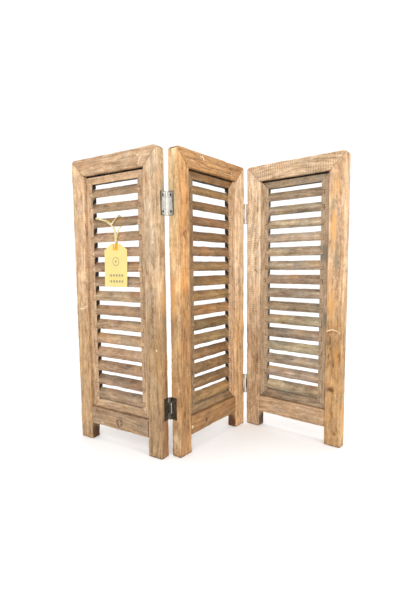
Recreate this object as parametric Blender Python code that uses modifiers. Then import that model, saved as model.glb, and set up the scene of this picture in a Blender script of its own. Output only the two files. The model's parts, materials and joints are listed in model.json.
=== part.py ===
# Folding room divider: three louvred wooden panels joined by two pairs of butt hinges.
#
# Every panel is a mitred outer frame that runs down into feet, with a thinner mitred louvre
# frame set back in it and fifteen sloping slats let into that frame's stiles.
# Each panel is drawn in its own coordinates: x along its width from its left edge, y from its
# front face towards its back, z up from the floor. An empty per panel then places it. The left
# panel's empty stands on the left hinge axis and the right panel's on the right hinge axis.

import math

import bmesh
import bpy
from mathutils import Matrix, Vector

MM = 0.001

# ---- the screen ---------------------------------------------------------------------------
PANEL_HEIGHT = 670 * MM
PANEL_WIDTH = 254 * MM
PANEL_THICKNESS = 25 * MM
MIDDLE_TURN = math.radians(45)
LEFT_FOLD = math.radians(83)
RIGHT_FOLD = math.radians(90)

# ---- outer frame --------------------------------------------------------------------------
FRAME_WIDTH = 38.5 * MM
FOOT_HEIGHT = 41 * MM
BOTTOM_RAIL_HEIGHT = 41 * MM
CORNER_RADIUS = 6 * MM
ARRIS_RADIUS = 2.5 * MM
TENON_LENGTH = 12 * MM
TENON_THICKNESS = 7 * MM
TENON_HEIGHT = 25 * MM

# ---- louvre frame and slats ---------------------------------------------------------------
RECESS = 7 * MM
LOUVRE_DEPTH = 12 * MM
LOUVRE_STILE_WIDTH = 20 * MM
LOUVRE_RAIL_HEIGHT = 21 * MM
SLAT_COUNT = 15
TOP_SLAT_GAP = 7.5 * MM
SLAT_FACE = 11.5 * MM
SLAT_RISE = 11 * MM
SLAT_CHAMFER = 1.2 * MM
BOTTOM_SLAT_GAP = 4.3 * MM
NOTCH_DEPTH = 8 * MM
SLAT_TENON_HEIGHT = 5 * MM
SLAT_TENON_DEPTH = 4 * MM
STRIP_THICKNESS = 2.3 * MM
STRIP_DEPTH = 6 * MM

# ---- hinges -------------------------------------------------------------------------------
JOINT_GAP = 6 * MM
AXIS_OFFSET = 2.2 * MM
HINGE_HEIGHT = 50 * MM
HINGE_FROM_FLOOR = 109 * MM
HINGE_FROM_TOP = 116 * MM
LEAF_THICKNESS = 1.2 * MM
LEAF_REACH = 17.2 * MM
PIN_RADIUS = 1.1 * MM
PIN_CLEARANCE = 0.35 * MM
KNUCKLE_WALL = 1.35 * MM
PIN_HEAD_RADIUS = 2.1 * MM
PIN_HEAD_HEIGHT = 0.7 * MM
CENTRE_KNUCKLE = 24 * MM
KNUCKLE_SIDES = 16
LEAF_CUTBACK = 0.4 * MM
SCREW_REACH = 10 * MM
SCREW_SPREAD = 17 * MM
SCREW_HEAD_RADIUS = 2.8 * MM
SCREW_SHANK_RADIUS = 1.3 * MM
SCREW_LENGTH = 13 * MM
SCREW_SIDES = 10
SCREW_CLEARANCE = 0.3 * MM
CROSS_LENGTH = 2.8 * MM
CROSS_WIDTH = 0.6 * MM
CROSS_DEPTH = 0.5 * MM

# ---- hang tag -----------------------------------------------------------------------------
TAG_WIDTH = 69 * MM
TAG_HEIGHT = 97 * MM
TAG_THICKNESS = 0.6 * MM
TAG_SLAT = 3
TAG_DROP = 38.9 * MM
TAG_CHAMFER_X = 22 * MM
TAG_CHAMFER_Z = 14 * MM
PATCH_SIZE = 14 * MM
PATCH_THICKNESS = 0.4 * MM
PATCH_EDGE = 0.6 * MM
TAG_HOLE_RADIUS = 2.6 * MM
TAG_HOLE_DROP = 7.5 * MM
STRING_RADIUS = 1.0 * MM

# ---- fits ---------------------------------------------------------------------------------
GLUE_GAP = 0.3 * MM
CUT_EXTRA = 1 * MM

# Derived heights and widths of the louvre opening.
FRAME_INSIDE = PANEL_HEIGHT - FRAME_WIDTH
RAIL_TOP = FOOT_HEIGHT + BOTTOM_RAIL_HEIGHT
LOUVRE_LOW = RAIL_TOP + GLUE_GAP
LOUVRE_HIGH = FRAME_INSIDE - GLUE_GAP
LOUVRE_LEFT = FRAME_WIDTH + GLUE_GAP
OPENING_LEFT = FRAME_WIDTH + LOUVRE_STILE_WIDTH
OPENING_LOW = RAIL_TOP + LOUVRE_RAIL_HEIGHT
OPENING_HIGH = FRAME_INSIDE - LOUVRE_RAIL_HEIGHT
LOUVRE_MID_Y = RECESS + LOUVRE_DEPTH / 2
BOTTOM_SLAT = OPENING_LOW + BOTTOM_SLAT_GAP
TOP_SLAT = OPENING_HIGH - TOP_SLAT_GAP - SLAT_FACE - SLAT_RISE
SLAT_PITCH = (TOP_SLAT - BOTTOM_SLAT) / (SLAT_COUNT - 1)
SLAT_SLOPE = SLAT_RISE / LOUVRE_DEPTH

# Derived places of the hinges and the tag. The tag hangs from a slat counted from the top.
HINGE_LEVELS = {"top": PANEL_HEIGHT - HINGE_FROM_TOP, "bottom": HINGE_FROM_FLOOR}
BORE_RADIUS = PIN_RADIUS + PIN_CLEARANCE
BARREL_RADIUS = BORE_RADIUS + KNUCKLE_WALL
TAG_CENTRE = PANEL_WIDTH / 2
TAG_TOP = TOP_SLAT - (TAG_SLAT - 1) * SLAT_PITCH - TAG_DROP

# ---- scene, collections and materials -----------------------------------------------------

for old in list(bpy.data.objects):
    bpy.data.objects.remove(old, do_unlink=True)

parts = bpy.data.collections.new("folding_screen")
cutters = bpy.data.collections.new("cutters")
bpy.context.scene.collection.children.link(parts)
bpy.context.scene.collection.children.link(cutters)


def material(name, colour, roughness, metallic=0.0):
    """A Principled material with one colour."""
    made = bpy.data.materials.new(name)
    made.use_nodes = True
    shader = made.node_tree.nodes["Principled BSDF"]
    shader.inputs["Base Color"].default_value = (*colour, 1.0)
    shader.inputs["Roughness"].default_value = roughness
    shader.inputs["Metallic"].default_value = metallic
    made.diffuse_color = (*colour, 1.0)
    return made


FRAME_WOOD = {
    "left": material("left_frame_wood", (0.62, 0.42, 0.27), 0.72),
    "middle": material("middle_frame_wood", (0.70, 0.41, 0.19), 0.72),
    "right": material("right_frame_wood", (0.64, 0.43, 0.28), 0.72),
}
RAIL_WOOD = material("bottom_rail_wood", (0.44, 0.26, 0.15), 0.74)
LOUVRE_WOOD = material("louvre_frame_wood", (0.50, 0.35, 0.23), 0.76)
SLAT_WOOD = material("slat_wood", (0.33, 0.22, 0.13), 0.78)
STEEL = material("hinge_steel", (0.52, 0.50, 0.46), 0.35, 1.0)
PIN_STEEL = material("pin_steel", (0.40, 0.39, 0.36), 0.35, 1.0)
SCREW_STEEL = material("screw_steel", (0.45, 0.43, 0.38), 0.40, 1.0)
TAG_CARD = material("tag_card", (0.96, 0.85, 0.33), 0.70)
PATCH_PAPER = material("patch_paper", (0.95, 0.50, 0.03), 0.65)
TWINE = material("raffia_string", (0.88, 0.80, 0.50), 0.80)

# ---- building helpers ---------------------------------------------------------------------


def empty(name, place, turn, parent=None):
    """An axis marker that carries a panel."""
    marker = bpy.data.objects.new(name, None)
    marker.location = place
    marker.rotation_euler = (0.0, 0.0, turn)
    marker.parent = parent
    parts.objects.link(marker)
    return marker


def put(name, mesh, place, parent, look, turn=(0.0, 0.0, 0.0)):
    """A part of the screen at a place in its parent's coordinates."""
    made = bpy.data.objects.new(name, mesh)
    made.location = place
    made.rotation_euler = turn
    made.parent = parent
    parts.objects.link(made)
    if look is not None and not mesh.materials:
        mesh.materials.append(look)
    return made


def tool(name, mesh, place, parent, turn=(0.0, 0.0, 0.0)):
    """A cutter: it shapes parts and is not one."""
    made = bpy.data.objects.new(name, mesh)
    made.location = place
    made.rotation_euler = turn
    made.parent = parent
    made.hide_render = True
    made.display_type = "WIRE"
    cutters.objects.link(made)
    return made


def boolean(target, other, operation):
    """Cut, join or trim one object with another."""
    step = target.modifiers.new(operation.lower(), "BOOLEAN")
    step.operation = operation
    step.object = other
    step.solver = "EXACT"


def mesh_of(bm, name):
    """A mesh from a finished bmesh, with its faces turned outward."""
    bmesh.ops.recalc_face_normals(bm, faces=bm.faces)
    mesh = bpy.data.meshes.new(name)
    bm.to_mesh(mesh)
    bm.free()
    return mesh


def block(low, high):
    """A box between two corners."""
    low = Vector(low)
    high = Vector(high)
    bm = bmesh.new()
    bmesh.ops.create_cube(bm, size=1.0)
    bmesh.ops.scale(bm, vec=high - low, verts=bm.verts)
    bmesh.ops.translate(bm, vec=(low + high) / 2, verts=bm.verts)
    return bm


def round_edges(bm, test, radius, segments):
    """Bevel the edges that pass the test."""
    edges = [edge for edge in bm.edges if test(edge)]
    bmesh.ops.bevel(bm, geom=edges, offset=radius, offset_type="OFFSET", segments=segments,
                    profile=0.5, affect="EDGES", clamp_overlap=True)


def sharp(edge):
    """True for an arris, false for the joins inside a rounded corner."""
    return edge.calc_face_angle(0.0) > math.radians(40)


def slice_off(bm, point, normal):
    """Saw the board along a plane and close the cut. The side the normal points to goes."""
    geom = bm.verts[:] + bm.edges[:] + bm.faces[:]
    bmesh.ops.bisect_plane(bm, geom=geom, dist=1e-7, plane_co=point, plane_no=normal,
                           clear_outer=True)
    rim = [edge for edge in bm.edges if edge.is_boundary]
    bmesh.ops.edgeloop_fill(bm, edges=rim)


def rod(radius, low, high, sides):
    """A cylinder along z."""
    bm = bmesh.new()
    bmesh.ops.create_cone(bm, cap_ends=True, segments=sides, radius1=radius, radius2=radius,
                          depth=high - low)
    bmesh.ops.translate(bm, vec=(0.0, 0.0, (low + high) / 2), verts=bm.verts)
    return bm


def add_to(bm, other):
    """Move another bmesh's shape into this one."""
    spare = bpy.data.meshes.new("spare")
    other.to_mesh(spare)
    other.free()
    bm.from_mesh(spare)
    bpy.data.meshes.remove(spare)


def turned(name, profile, sides):
    """A solid of revolution about z from an (radius, height) profile that runs down."""
    mesh = bpy.data.meshes.new(name)
    bm = bmesh.new()
    points = [bm.verts.new((radius, 0.0, height)) for radius, height in profile]
    for first, second in zip(points, points[1:]):
        bm.edges.new((first, second))
    bm.to_mesh(mesh)
    bm.free()
    made = bpy.data.objects.new(name, mesh)
    cutters.objects.link(made)
    spin = made.modifiers.new("spin", "SCREW")
    spin.angle = math.tau
    spin.steps = sides
    spin.render_steps = sides
    spin.use_merge_vertices = True
    spin.merge_threshold = 0.00001
    return made


def frozen(source, name, look):
    """The evaluated mesh of an object that was only a pattern. The pattern goes."""
    deps = bpy.context.evaluated_depsgraph_get()
    deps.update()
    mesh = bpy.data.meshes.new_from_object(source.evaluated_get(deps))
    mesh.name = name
    mesh.materials.clear()
    mesh.materials.append(look)
    bpy.data.objects.remove(source, do_unlink=True)
    return mesh


# ---- where the panels stand ---------------------------------------------------------------

screen = empty("screen", (0.0, 0.0, 0.0), MIDDLE_TURN)
LEFT_AXIS = (-JOINT_GAP / 2, PANEL_THICKNESS + AXIS_OFFSET, 0.0)
RIGHT_AXIS = (PANEL_WIDTH + JOINT_GAP / 2, -AXIS_OFFSET, 0.0)
left_joint = empty("left_joint", LEFT_AXIS, -LEFT_FOLD, screen)
right_joint = empty("right_joint", RIGHT_AXIS, -RIGHT_FOLD, screen)

CARRIER = {"left": left_joint, "middle": screen, "right": right_joint}
CORNER = {
    "left": Vector((-PANEL_WIDTH - JOINT_GAP / 2, -PANEL_THICKNESS - AXIS_OFFSET, 0.0)),
    "middle": Vector((0.0, 0.0, 0.0)),
    "right": Vector((JOINT_GAP / 2, AXIS_OFFSET, 0.0)),
}

# ---- meshes shared by the three panels ----------------------------------------------------


def flipped(mesh, name):
    """The same board for the other side of the panel."""
    bm = bmesh.new()
    bm.from_mesh(mesh)
    bmesh.ops.scale(bm, vec=(-1.0, 1.0, 1.0), verts=bm.verts)
    bmesh.ops.translate(bm, vec=(PANEL_WIDTH, 0.0, 0.0), verts=bm.verts)
    return mesh_of(bm, name)


def along_y(edge):
    """True for an edge that runs through the board's thickness."""
    run = edge.verts[1].co - edge.verts[0].co
    return abs(run.y) > 0.9 * run.length


def stile_mesh():
    """The outer stile on the left: foot, rounded top corner and mitred head."""
    bm = block((0.0, 0.0, 0.0), (FRAME_WIDTH, PANEL_THICKNESS, PANEL_HEIGHT))
    round_edges(bm, lambda e: along_y(e) and e.verts[0].co.z > PANEL_HEIGHT / 2
                and e.verts[0].co.x < FRAME_WIDTH / 2, CORNER_RADIUS, 3)
    round_edges(bm, sharp, ARRIS_RADIUS, 2)
    slice_off(bm, (FRAME_WIDTH, 0.0, FRAME_INSIDE - GLUE_GAP / 2), (1.0, 0.0, 1.0))
    return mesh_of(bm, "stile")


def top_rail_mesh():
    """The top rail, mitred to both stiles."""
    bm = block((0.0, 0.0, FRAME_INSIDE), (PANEL_WIDTH, PANEL_THICKNESS, PANEL_HEIGHT))
    middle = (FRAME_INSIDE + PANEL_HEIGHT) / 2
    round_edges(bm, lambda e: along_y(e) and e.verts[0].co.z > middle, CORNER_RADIUS, 3)
    round_edges(bm, sharp, ARRIS_RADIUS, 2)
    seam = FRAME_INSIDE + GLUE_GAP / 2
    slice_off(bm, (FRAME_WIDTH, 0.0, seam), (-1.0, 0.0, -1.0))
    slice_off(bm, (PANEL_WIDTH - FRAME_WIDTH, 0.0, seam), (1.0, 0.0, -1.0))
    return mesh_of(bm, "top_rail")


def bottom_rail_mesh():
    """The bottom rail between the stiles, without its tenons."""
    bm = block((LOUVRE_LEFT, 0.0, FOOT_HEIGHT),
               (PANEL_WIDTH - LOUVRE_LEFT, PANEL_THICKNESS, RAIL_TOP))
    round_edges(bm, sharp, ARRIS_RADIUS, 2)
    return mesh_of(bm, "bottom_rail")


def tenon_bar(grow):
    """A bar through the bottom rail that sticks out as its two stub tenons."""
    middle_z = (FOOT_HEIGHT + RAIL_TOP) / 2
    half_y = TENON_THICKNESS / 2 + grow
    half_z = TENON_HEIGHT / 2 + grow
    reach = FRAME_WIDTH - TENON_LENGTH - grow
    return block((reach, PANEL_THICKNESS / 2 - half_y, middle_z - half_z),
                 (PANEL_WIDTH - reach, PANEL_THICKNESS / 2 + half_y, middle_z + half_z))


def louvre_stile_mesh():
    """The left stile of the louvre frame, mitred at both ends and not yet notched."""
    bm = block((LOUVRE_LEFT, RECESS, LOUVRE_LOW),
               (OPENING_LEFT, RECESS + LOUVRE_DEPTH, LOUVRE_HIGH))
    wide = LOUVRE_STILE_WIDTH
    high = LOUVRE_RAIL_HEIGHT
    slice_off(bm, (OPENING_LEFT, 0.0, OPENING_LOW + GLUE_GAP / 2), (high, 0.0, -wide))
    slice_off(bm, (OPENING_LEFT, 0.0, OPENING_HIGH - GLUE_GAP / 2), (high, 0.0, wide))
    return mesh_of(bm, "louvre_stile")


def louvre_rail_mesh(low, high, opening, up):
    """A rail of the louvre frame. The opening lies above the bottom rail, below the top one."""
    bm = block((LOUVRE_LEFT, RECESS, low),
               (PANEL_WIDTH - LOUVRE_LEFT, RECESS + LOUVRE_DEPTH, high))
    run = LOUVRE_RAIL_HEIGHT
    rise = LOUVRE_STILE_WIDTH * up
    seam = opening - up * GLUE_GAP / 2
    slice_off(bm, (OPENING_LEFT, 0.0, seam), (-run, 0.0, rise))
    slice_off(bm, (PANEL_WIDTH - OPENING_LEFT, 0.0, seam), (run, 0.0, rise))
    return mesh_of(bm, "louvre_rail")


def slat_rows(end, grow, past, chamfer):
    """Fifteen sloping slats, each a box sheared upward towards the back."""
    rows = bmesh.new()
    depth = LOUVRE_DEPTH + 2 * past
    face = SLAT_FACE + 2 * grow
    shear = Matrix.Identity(4)
    shear[2][1] = SLAT_SLOPE
    for number in range(SLAT_COUNT):
        bm = block((end, -depth / 2, -face / 2), (PANEL_WIDTH - end, depth / 2, face / 2))
        bmesh.ops.transform(bm, matrix=shear, verts=bm.verts)
        if chamfer:
            long_edge = lambda e: abs(e.verts[1].co.x - e.verts[0].co.x) > PANEL_WIDTH / 3
            round_edges(bm, long_edge, chamfer, 1)
        middle = BOTTOM_SLAT + number * SLAT_PITCH + (SLAT_FACE + SLAT_RISE) / 2
        bmesh.ops.translate(bm, vec=(0.0, LOUVRE_MID_Y, middle), verts=bm.verts)
        add_to(rows, bm)
    return mesh_of(rows, "slat_rows")


def slat_tenons(grow):
    """A square bar through each slat, long enough to reach the strips at both ends."""
    bars = bmesh.new()
    end = LOUVRE_LEFT + STRIP_THICKNESS / 2
    for number in range(SLAT_COUNT):
        middle = BOTTOM_SLAT + number * SLAT_PITCH + (SLAT_FACE + SLAT_RISE) / 2
        half_y = SLAT_TENON_DEPTH / 2 + grow
        half_z = SLAT_TENON_HEIGHT / 2 + grow
        add_to(bars, block((end, LOUVRE_MID_Y - half_y, middle - half_z),
                           (PANEL_WIDTH - end, LOUVRE_MID_Y + half_y, middle + half_z)))
    return mesh_of(bars, "slat_tenons")


def strips(grow, out):
    """The two hidden strips along the outer edges of the louvre stiles."""
    both = bmesh.new()
    low = BOTTOM_SLAT + (SLAT_FACE + SLAT_RISE) / 2 - SLAT_TENON_HEIGHT - grow
    high = (BOTTOM_SLAT + (SLAT_COUNT - 1) * SLAT_PITCH + (SLAT_FACE + SLAT_RISE) / 2
            + SLAT_TENON_HEIGHT + grow)
    half_y = STRIP_DEPTH / 2 + grow
    inner = LOUVRE_LEFT + STRIP_THICKNESS + grow
    outer = LOUVRE_LEFT - out
    add_to(both, block((outer, LOUVRE_MID_Y - half_y, low),
                       (inner, LOUVRE_MID_Y + half_y, high)))
    add_to(both, block((PANEL_WIDTH - inner, LOUVRE_MID_Y - half_y, low),
                       (PANEL_WIDTH - outer, LOUVRE_MID_Y + half_y, high)))
    return mesh_of(both, "strips")


STILE = {"left": stile_mesh()}
STILE["right"] = flipped(STILE["left"], "stile_right")
TOP_RAIL = top_rail_mesh()
BOTTOM_RAIL = bottom_rail_mesh()
TENONS = mesh_of(tenon_bar(0.0), "tenons")
MORTISES = mesh_of(tenon_bar(GLUE_GAP), "mortises")
LOUVRE_STILE = {"left": louvre_stile_mesh()}
LOUVRE_STILE["right"] = flipped(LOUVRE_STILE["left"], "louvre_stile_right")
LOUVRE_RAIL = {
    "bottom": louvre_rail_mesh(LOUVRE_LOW, OPENING_LOW, OPENING_LOW, 1.0),
    "top": louvre_rail_mesh(OPENING_HIGH, LOUVRE_HIGH, OPENING_HIGH, -1.0),
}
NOTCH_END = OPENING_LEFT - NOTCH_DEPTH
SLAT_END = NOTCH_END + GLUE_GAP
SLOPE_GAP = GLUE_GAP * math.hypot(1.0, SLAT_SLOPE)
SLAT_ROWS = slat_rows(SLAT_END, 0.0, 0.0, SLAT_CHAMFER)
NOTCH_ROWS = slat_rows(NOTCH_END, SLOPE_GAP, CUT_EXTRA, 0.0)
SLAT_TENONS = slat_tenons(0.0)
TENON_HOLES = slat_tenons(GLUE_GAP)
STRIPS = strips(0.0, 0.0)
STRIP_GROOVES = strips(GLUE_GAP, CUT_EXTRA)


def shared(mesh, look):
    """A panel's own copy of a mesh, so that it can carry that panel's wood."""
    copy = mesh.copy()
    copy.materials.clear()
    copy.materials.append(look)
    return copy


def panel(side):
    """The nine wooden pieces of one panel."""
    carrier = CARRIER[side]
    corner = CORNER[side]
    wood = FRAME_WOOD[side]
    mortises = tool(side + "_mortises", MORTISES, corner, carrier)
    notches = tool(side + "_notches", NOTCH_ROWS, corner, carrier)
    holes = tool(side + "_tenon_holes", TENON_HOLES, corner, carrier)
    grooves = tool(side + "_strip_grooves", STRIP_GROOVES, corner, carrier)
    for end in ("left", "right"):
        stile = put(side + "_stile_" + end, shared(STILE[end], wood), corner, carrier, wood)
        boolean(stile, mortises, "DIFFERENCE")
        louvre = put(side + "_louvre_stile_" + end, shared(LOUVRE_STILE[end], LOUVRE_WOOD),
                     corner, carrier, LOUVRE_WOOD)
        for cutter in (notches, holes, grooves):
            boolean(louvre, cutter, "DIFFERENCE")
    put(side + "_top_rail", shared(TOP_RAIL, wood), corner, carrier, wood)
    rail = put(side + "_bottom_rail", shared(BOTTOM_RAIL, RAIL_WOOD), corner, carrier, RAIL_WOOD)
    boolean(rail, tool(side + "_tenons", TENONS, corner, carrier), "UNION")
    for level, mesh in LOUVRE_RAIL.items():
        put(side + "_louvre_rail_" + level, shared(mesh, LOUVRE_WOOD), corner, carrier,
            LOUVRE_WOOD)
    slats = put(side + "_slats", shared(SLAT_ROWS, SLAT_WOOD), corner, carrier, SLAT_WOOD)
    boolean(slats, tool(side + "_slat_tenons", SLAT_TENONS, corner, carrier), "UNION")
    boolean(slats, tool(side + "_strips", STRIPS, corner, carrier), "UNION")


for panel_side in ("left", "middle", "right"):
    panel(panel_side)

# ---- hinges -------------------------------------------------------------------------------
# A hinge is drawn round its own axis, as on the right joint: the fixed leaf lies on the -x
# side, the moving leaf on the +x side, and both reach from the barrel towards +y.

LEAF_INNER = JOINT_GAP / 2 - GLUE_GAP - LEAF_THICKNESS
LEAF_OUTER = LEAF_INNER + LEAF_THICKNESS
HALF_HINGE = HINGE_HEIGHT / 2
HALF_CENTRE = CENTRE_KNUCKLE / 2
END_KNUCKLE = HALF_CENTRE + GLUE_GAP


def leaf(name, hand, knuckles, cutbacks):
    """One leaf with its knuckles. hand is -1 for the fixed leaf and +1 for the moving one."""
    plate = block((LEAF_INNER, 0.0, -HALF_HINGE), (LEAF_OUTER, LEAF_REACH, HALF_HINGE))
    body = bpy.data.objects.new(name, mesh_of(plate, name))
    cutters.objects.link(body)
    used = []

    def shape(bm, operation):
        other = tool(name + "_tool", mesh_of(bm, name + "_tool"), (0.0, 0.0, 0.0), None)
        used.append(other)
        boolean(body, other, operation)

    barrel = bmesh.new()
    clear = bmesh.new()
    for low, high in knuckles:
        add_to(barrel, rod(BARREL_RADIUS, low, high, KNUCKLE_SIDES))
    past = BARREL_RADIUS + LEAF_CUTBACK
    for low, high in cutbacks:
        add_to(clear, block((-past, -past, low), (past, past, high)))
    shape(clear, "DIFFERENCE")
    shape(barrel, "UNION")
    reach = HALF_HINGE + CUT_EXTRA
    shape(rod(BORE_RADIUS, -reach, reach, KNUCKLE_SIDES), "DIFFERENCE")
    sinks = bmesh.new()
    wide = SCREW_HEAD_RADIUS + SCREW_CLEARANCE
    for height in (-SCREW_SPREAD, SCREW_SPREAD):
        cone = bmesh.new()
        bmesh.ops.create_cone(cone, cap_ends=True, segments=SCREW_SIDES,
                              radius1=wide + CUT_EXTRA, radius2=wide - LEAF_THICKNESS
                              - GLUE_GAP / 2, depth=LEAF_THICKNESS + CUT_EXTRA + GLUE_GAP / 2)
        spot = (LEAF_INNER + (LEAF_THICKNESS + GLUE_GAP / 2 - CUT_EXTRA) / 2, SCREW_REACH, height)
        bmesh.ops.transform(cone, matrix=Matrix.Translation(spot) @ Matrix.Rotation(
            math.radians(90), 4, "Y"), verts=cone.verts)
        add_to(sinks, cone)
    shape(sinks, "DIFFERENCE")
    mesh = frozen(body, name, STEEL)
    for other in used:
        bpy.data.objects.remove(other, do_unlink=True)
    if hand < 0:
        bm = bmesh.new()
        bm.from_mesh(mesh)
        bmesh.ops.scale(bm, vec=(-1.0, 1.0, 1.0), verts=bm.verts)
        mesh = mesh_of(bm, name)
        mesh.materials.append(STEEL)
    mesh.shade_smooth()
    mesh.set_sharp_from_angle(angle=math.radians(35))
    return mesh


END_KNUCKLES = [(-HALF_HINGE, -END_KNUCKLE), (END_KNUCKLE, HALF_HINGE)]
FIXED_LEAF = leaf("fixed_leaf", -1, END_KNUCKLES, [(-END_KNUCKLE, END_KNUCKLE)])
MOVING_LEAF = leaf("moving_leaf", 1, [(-HALF_CENTRE, HALF_CENTRE)],
                   [(-HALF_HINGE - CUT_EXTRA, -HALF_CENTRE), (HALF_CENTRE, HALF_HINGE + CUT_EXTRA)])


def pin_mesh():
    """The hinge pin with a flat button at each end of the barrel."""
    shoulder = HALF_HINGE + GLUE_GAP
    end = shoulder + PIN_HEAD_HEIGHT
    pin = turned("pin", [(0.0, end), (PIN_HEAD_RADIUS, end), (PIN_HEAD_RADIUS, shoulder),
                         (PIN_RADIUS, shoulder), (PIN_RADIUS, -shoulder),
                         (PIN_HEAD_RADIUS, -shoulder), (PIN_HEAD_RADIUS, -end), (0.0, -end)],
                 SCREW_SIDES)
    return frozen(pin, "pin", PIN_STEEL)


def screw_mesh():
    """A countersunk wood screw with a cross recess, its head's face at the origin."""
    neck = SCREW_HEAD_RADIUS - SCREW_SHANK_RADIUS
    screw = turned("screw", [(0.0, 0.0), (SCREW_HEAD_RADIUS, 0.0), (SCREW_SHANK_RADIUS, -neck),
                             (SCREW_SHANK_RADIUS, -SCREW_LENGTH + 2 * SCREW_SHANK_RADIUS),
                             (0.0, -SCREW_LENGTH)], SCREW_SIDES)
    slots = []
    for turn in (0.0, math.radians(90)):
        slot = tool("slot", mesh_of(block((-CROSS_LENGTH / 2, -CROSS_WIDTH / 2, -CROSS_DEPTH),
                                          (CROSS_LENGTH / 2, CROSS_WIDTH / 2, CUT_EXTRA)),
                                    "slot"), (0.0, 0.0, 0.0), None, (0.0, 0.0, turn))
        boolean(screw, slot, "DIFFERENCE")
        slots.append(slot)
    mesh = frozen(screw, "screw", SCREW_STEEL)
    for slot in slots:
        bpy.data.objects.remove(slot, do_unlink=True)
    return mesh


PIN = pin_mesh()
SCREW = screw_mesh()
PILOT = mesh_of(rod(SCREW_SHANK_RADIUS + SCREW_CLEARANCE, -SCREW_LENGTH - CUT_EXTRA,
                    CUT_EXTRA, SCREW_SIDES), "pilot")


def hinge(joint, level, axis, moving, turn, fixed_stile, moving_stile):
    """A butt hinge: two leaves, the pin, four screws and their pilot holes."""
    name = joint + "_hinge_" + level
    height = HINGE_LEVELS[level]
    on_axis = Vector((axis[0], axis[1], height))
    above = Vector((0.0, 0.0, height))
    put(name + "_fixed_leaf", FIXED_LEAF, on_axis, screen, STEEL, (0.0, 0.0, turn))
    put(name + "_moving_leaf", MOVING_LEAF, above, moving, STEEL, (0.0, 0.0, turn))
    put(name + "_pin", PIN, on_axis, screen, PIN_STEEL, (0.0, 0.0, turn))
    spin = Matrix.Rotation(turn, 3, "Z")
    for kind, hand, base, parent, stile in (("fixed", -1.0, on_axis, screen, fixed_stile),
                                            ("moving", 1.0, above, moving, moving_stile)):
        for spot, lift in (("lower", -SCREW_SPREAD), ("upper", SCREW_SPREAD)):
            place = base + spin @ Vector((hand * LEAF_INNER, SCREW_REACH, lift))
            aim = (0.0, -hand * math.radians(90), turn)
            label = name + "_" + kind + "_screw_" + spot
            put(label, SCREW, place, parent, SCREW_STEEL, aim)
            boolean(bpy.data.objects[stile], tool(label + "_pilot", PILOT, place, parent, aim),
                    "DIFFERENCE")


for hinge_level in HINGE_LEVELS:
    hinge("left", hinge_level, LEFT_AXIS, left_joint, math.pi,
          "middle_stile_left", "left_stile_right")
    hinge("right", hinge_level, RIGHT_AXIS, right_joint, 0.0,
          "middle_stile_right", "right_stile_left")

# ---- hang tag on the left panel -----------------------------------------------------------


def outline(name, points, thickness):
    """A flat sheet from its outline in x and z, centred on its own thickness."""
    curve = bpy.data.curves.new(name, "CURVE")
    curve.dimensions = "2D"
    curve.fill_mode = "BOTH"
    curve.extrude = thickness / 2
    spline = curve.splines.new("POLY")
    spline.points.add(len(points) - 1)
    for point, (x, z) in zip(spline.points, points):
        point.co = (x, z, 0.0, 1.0)
    spline.use_cyclic_u = True
    source = bpy.data.objects.new(name, curve)
    cutters.objects.link(source)
    deps = bpy.context.evaluated_depsgraph_get()
    deps.update()
    mesh = bpy.data.meshes.new_from_object(source.evaluated_get(deps))
    bpy.data.objects.remove(source, do_unlink=True)
    bm = bmesh.new()
    bm.from_mesh(mesh)
    bmesh.ops.remove_doubles(bm, verts=bm.verts, dist=1e-6)
    bmesh.ops.rotate(bm, cent=(0.0, 0.0, 0.0), matrix=Matrix.Rotation(math.radians(90), 3, "X"),
                     verts=bm.verts)
    return mesh_of(bm, name)


TAG_Y = RECESS - GLUE_GAP - TAG_THICKNESS / 2
PATCH_Y = TAG_Y - TAG_THICKNESS / 2 - GLUE_GAP - PATCH_THICKNESS / 2
HALF_TAG = TAG_WIDTH / 2
tag_mesh = outline("hang_tag", [(-HALF_TAG, -TAG_HEIGHT), (HALF_TAG, -TAG_HEIGHT),
                                (HALF_TAG, -TAG_CHAMFER_Z), (HALF_TAG - TAG_CHAMFER_X, 0.0),
                                (-HALF_TAG + TAG_CHAMFER_X, 0.0), (-HALF_TAG, -TAG_CHAMFER_Z)],
                   TAG_THICKNESS)
tag_spot = CORNER["left"] + Vector((TAG_CENTRE, TAG_Y, TAG_TOP))
tag = put("hang_tag", tag_mesh, tag_spot, left_joint, TAG_CARD)
patch_block = block((-PATCH_SIZE / 2, -PATCH_THICKNESS / 2, -PATCH_SIZE / 2),
                    (PATCH_SIZE / 2, PATCH_THICKNESS / 2, PATCH_SIZE / 2))
patch_spot = CORNER["left"] + Vector((TAG_CENTRE, PATCH_Y,
                                      TAG_TOP - PATCH_EDGE - PATCH_SIZE / 2))
patch = put("tag_patch", mesh_of(patch_block, "tag_patch"), patch_spot, left_joint, PATCH_PAPER)
eyelet = tool("tag_eyelet", mesh_of(rod(TAG_HOLE_RADIUS, -PANEL_THICKNESS / 2,
                                        PANEL_THICKNESS / 2, SCREW_SIDES), "tag_eyelet"),
              CORNER["left"] + Vector((TAG_CENTRE, TAG_Y, TAG_TOP - TAG_HOLE_DROP)),
              left_joint, (math.radians(90), 0.0, 0.0))
boolean(tag, eyelet, "DIFFERENCE")
boolean(patch, eyelet, "DIFFERENCE")

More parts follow.
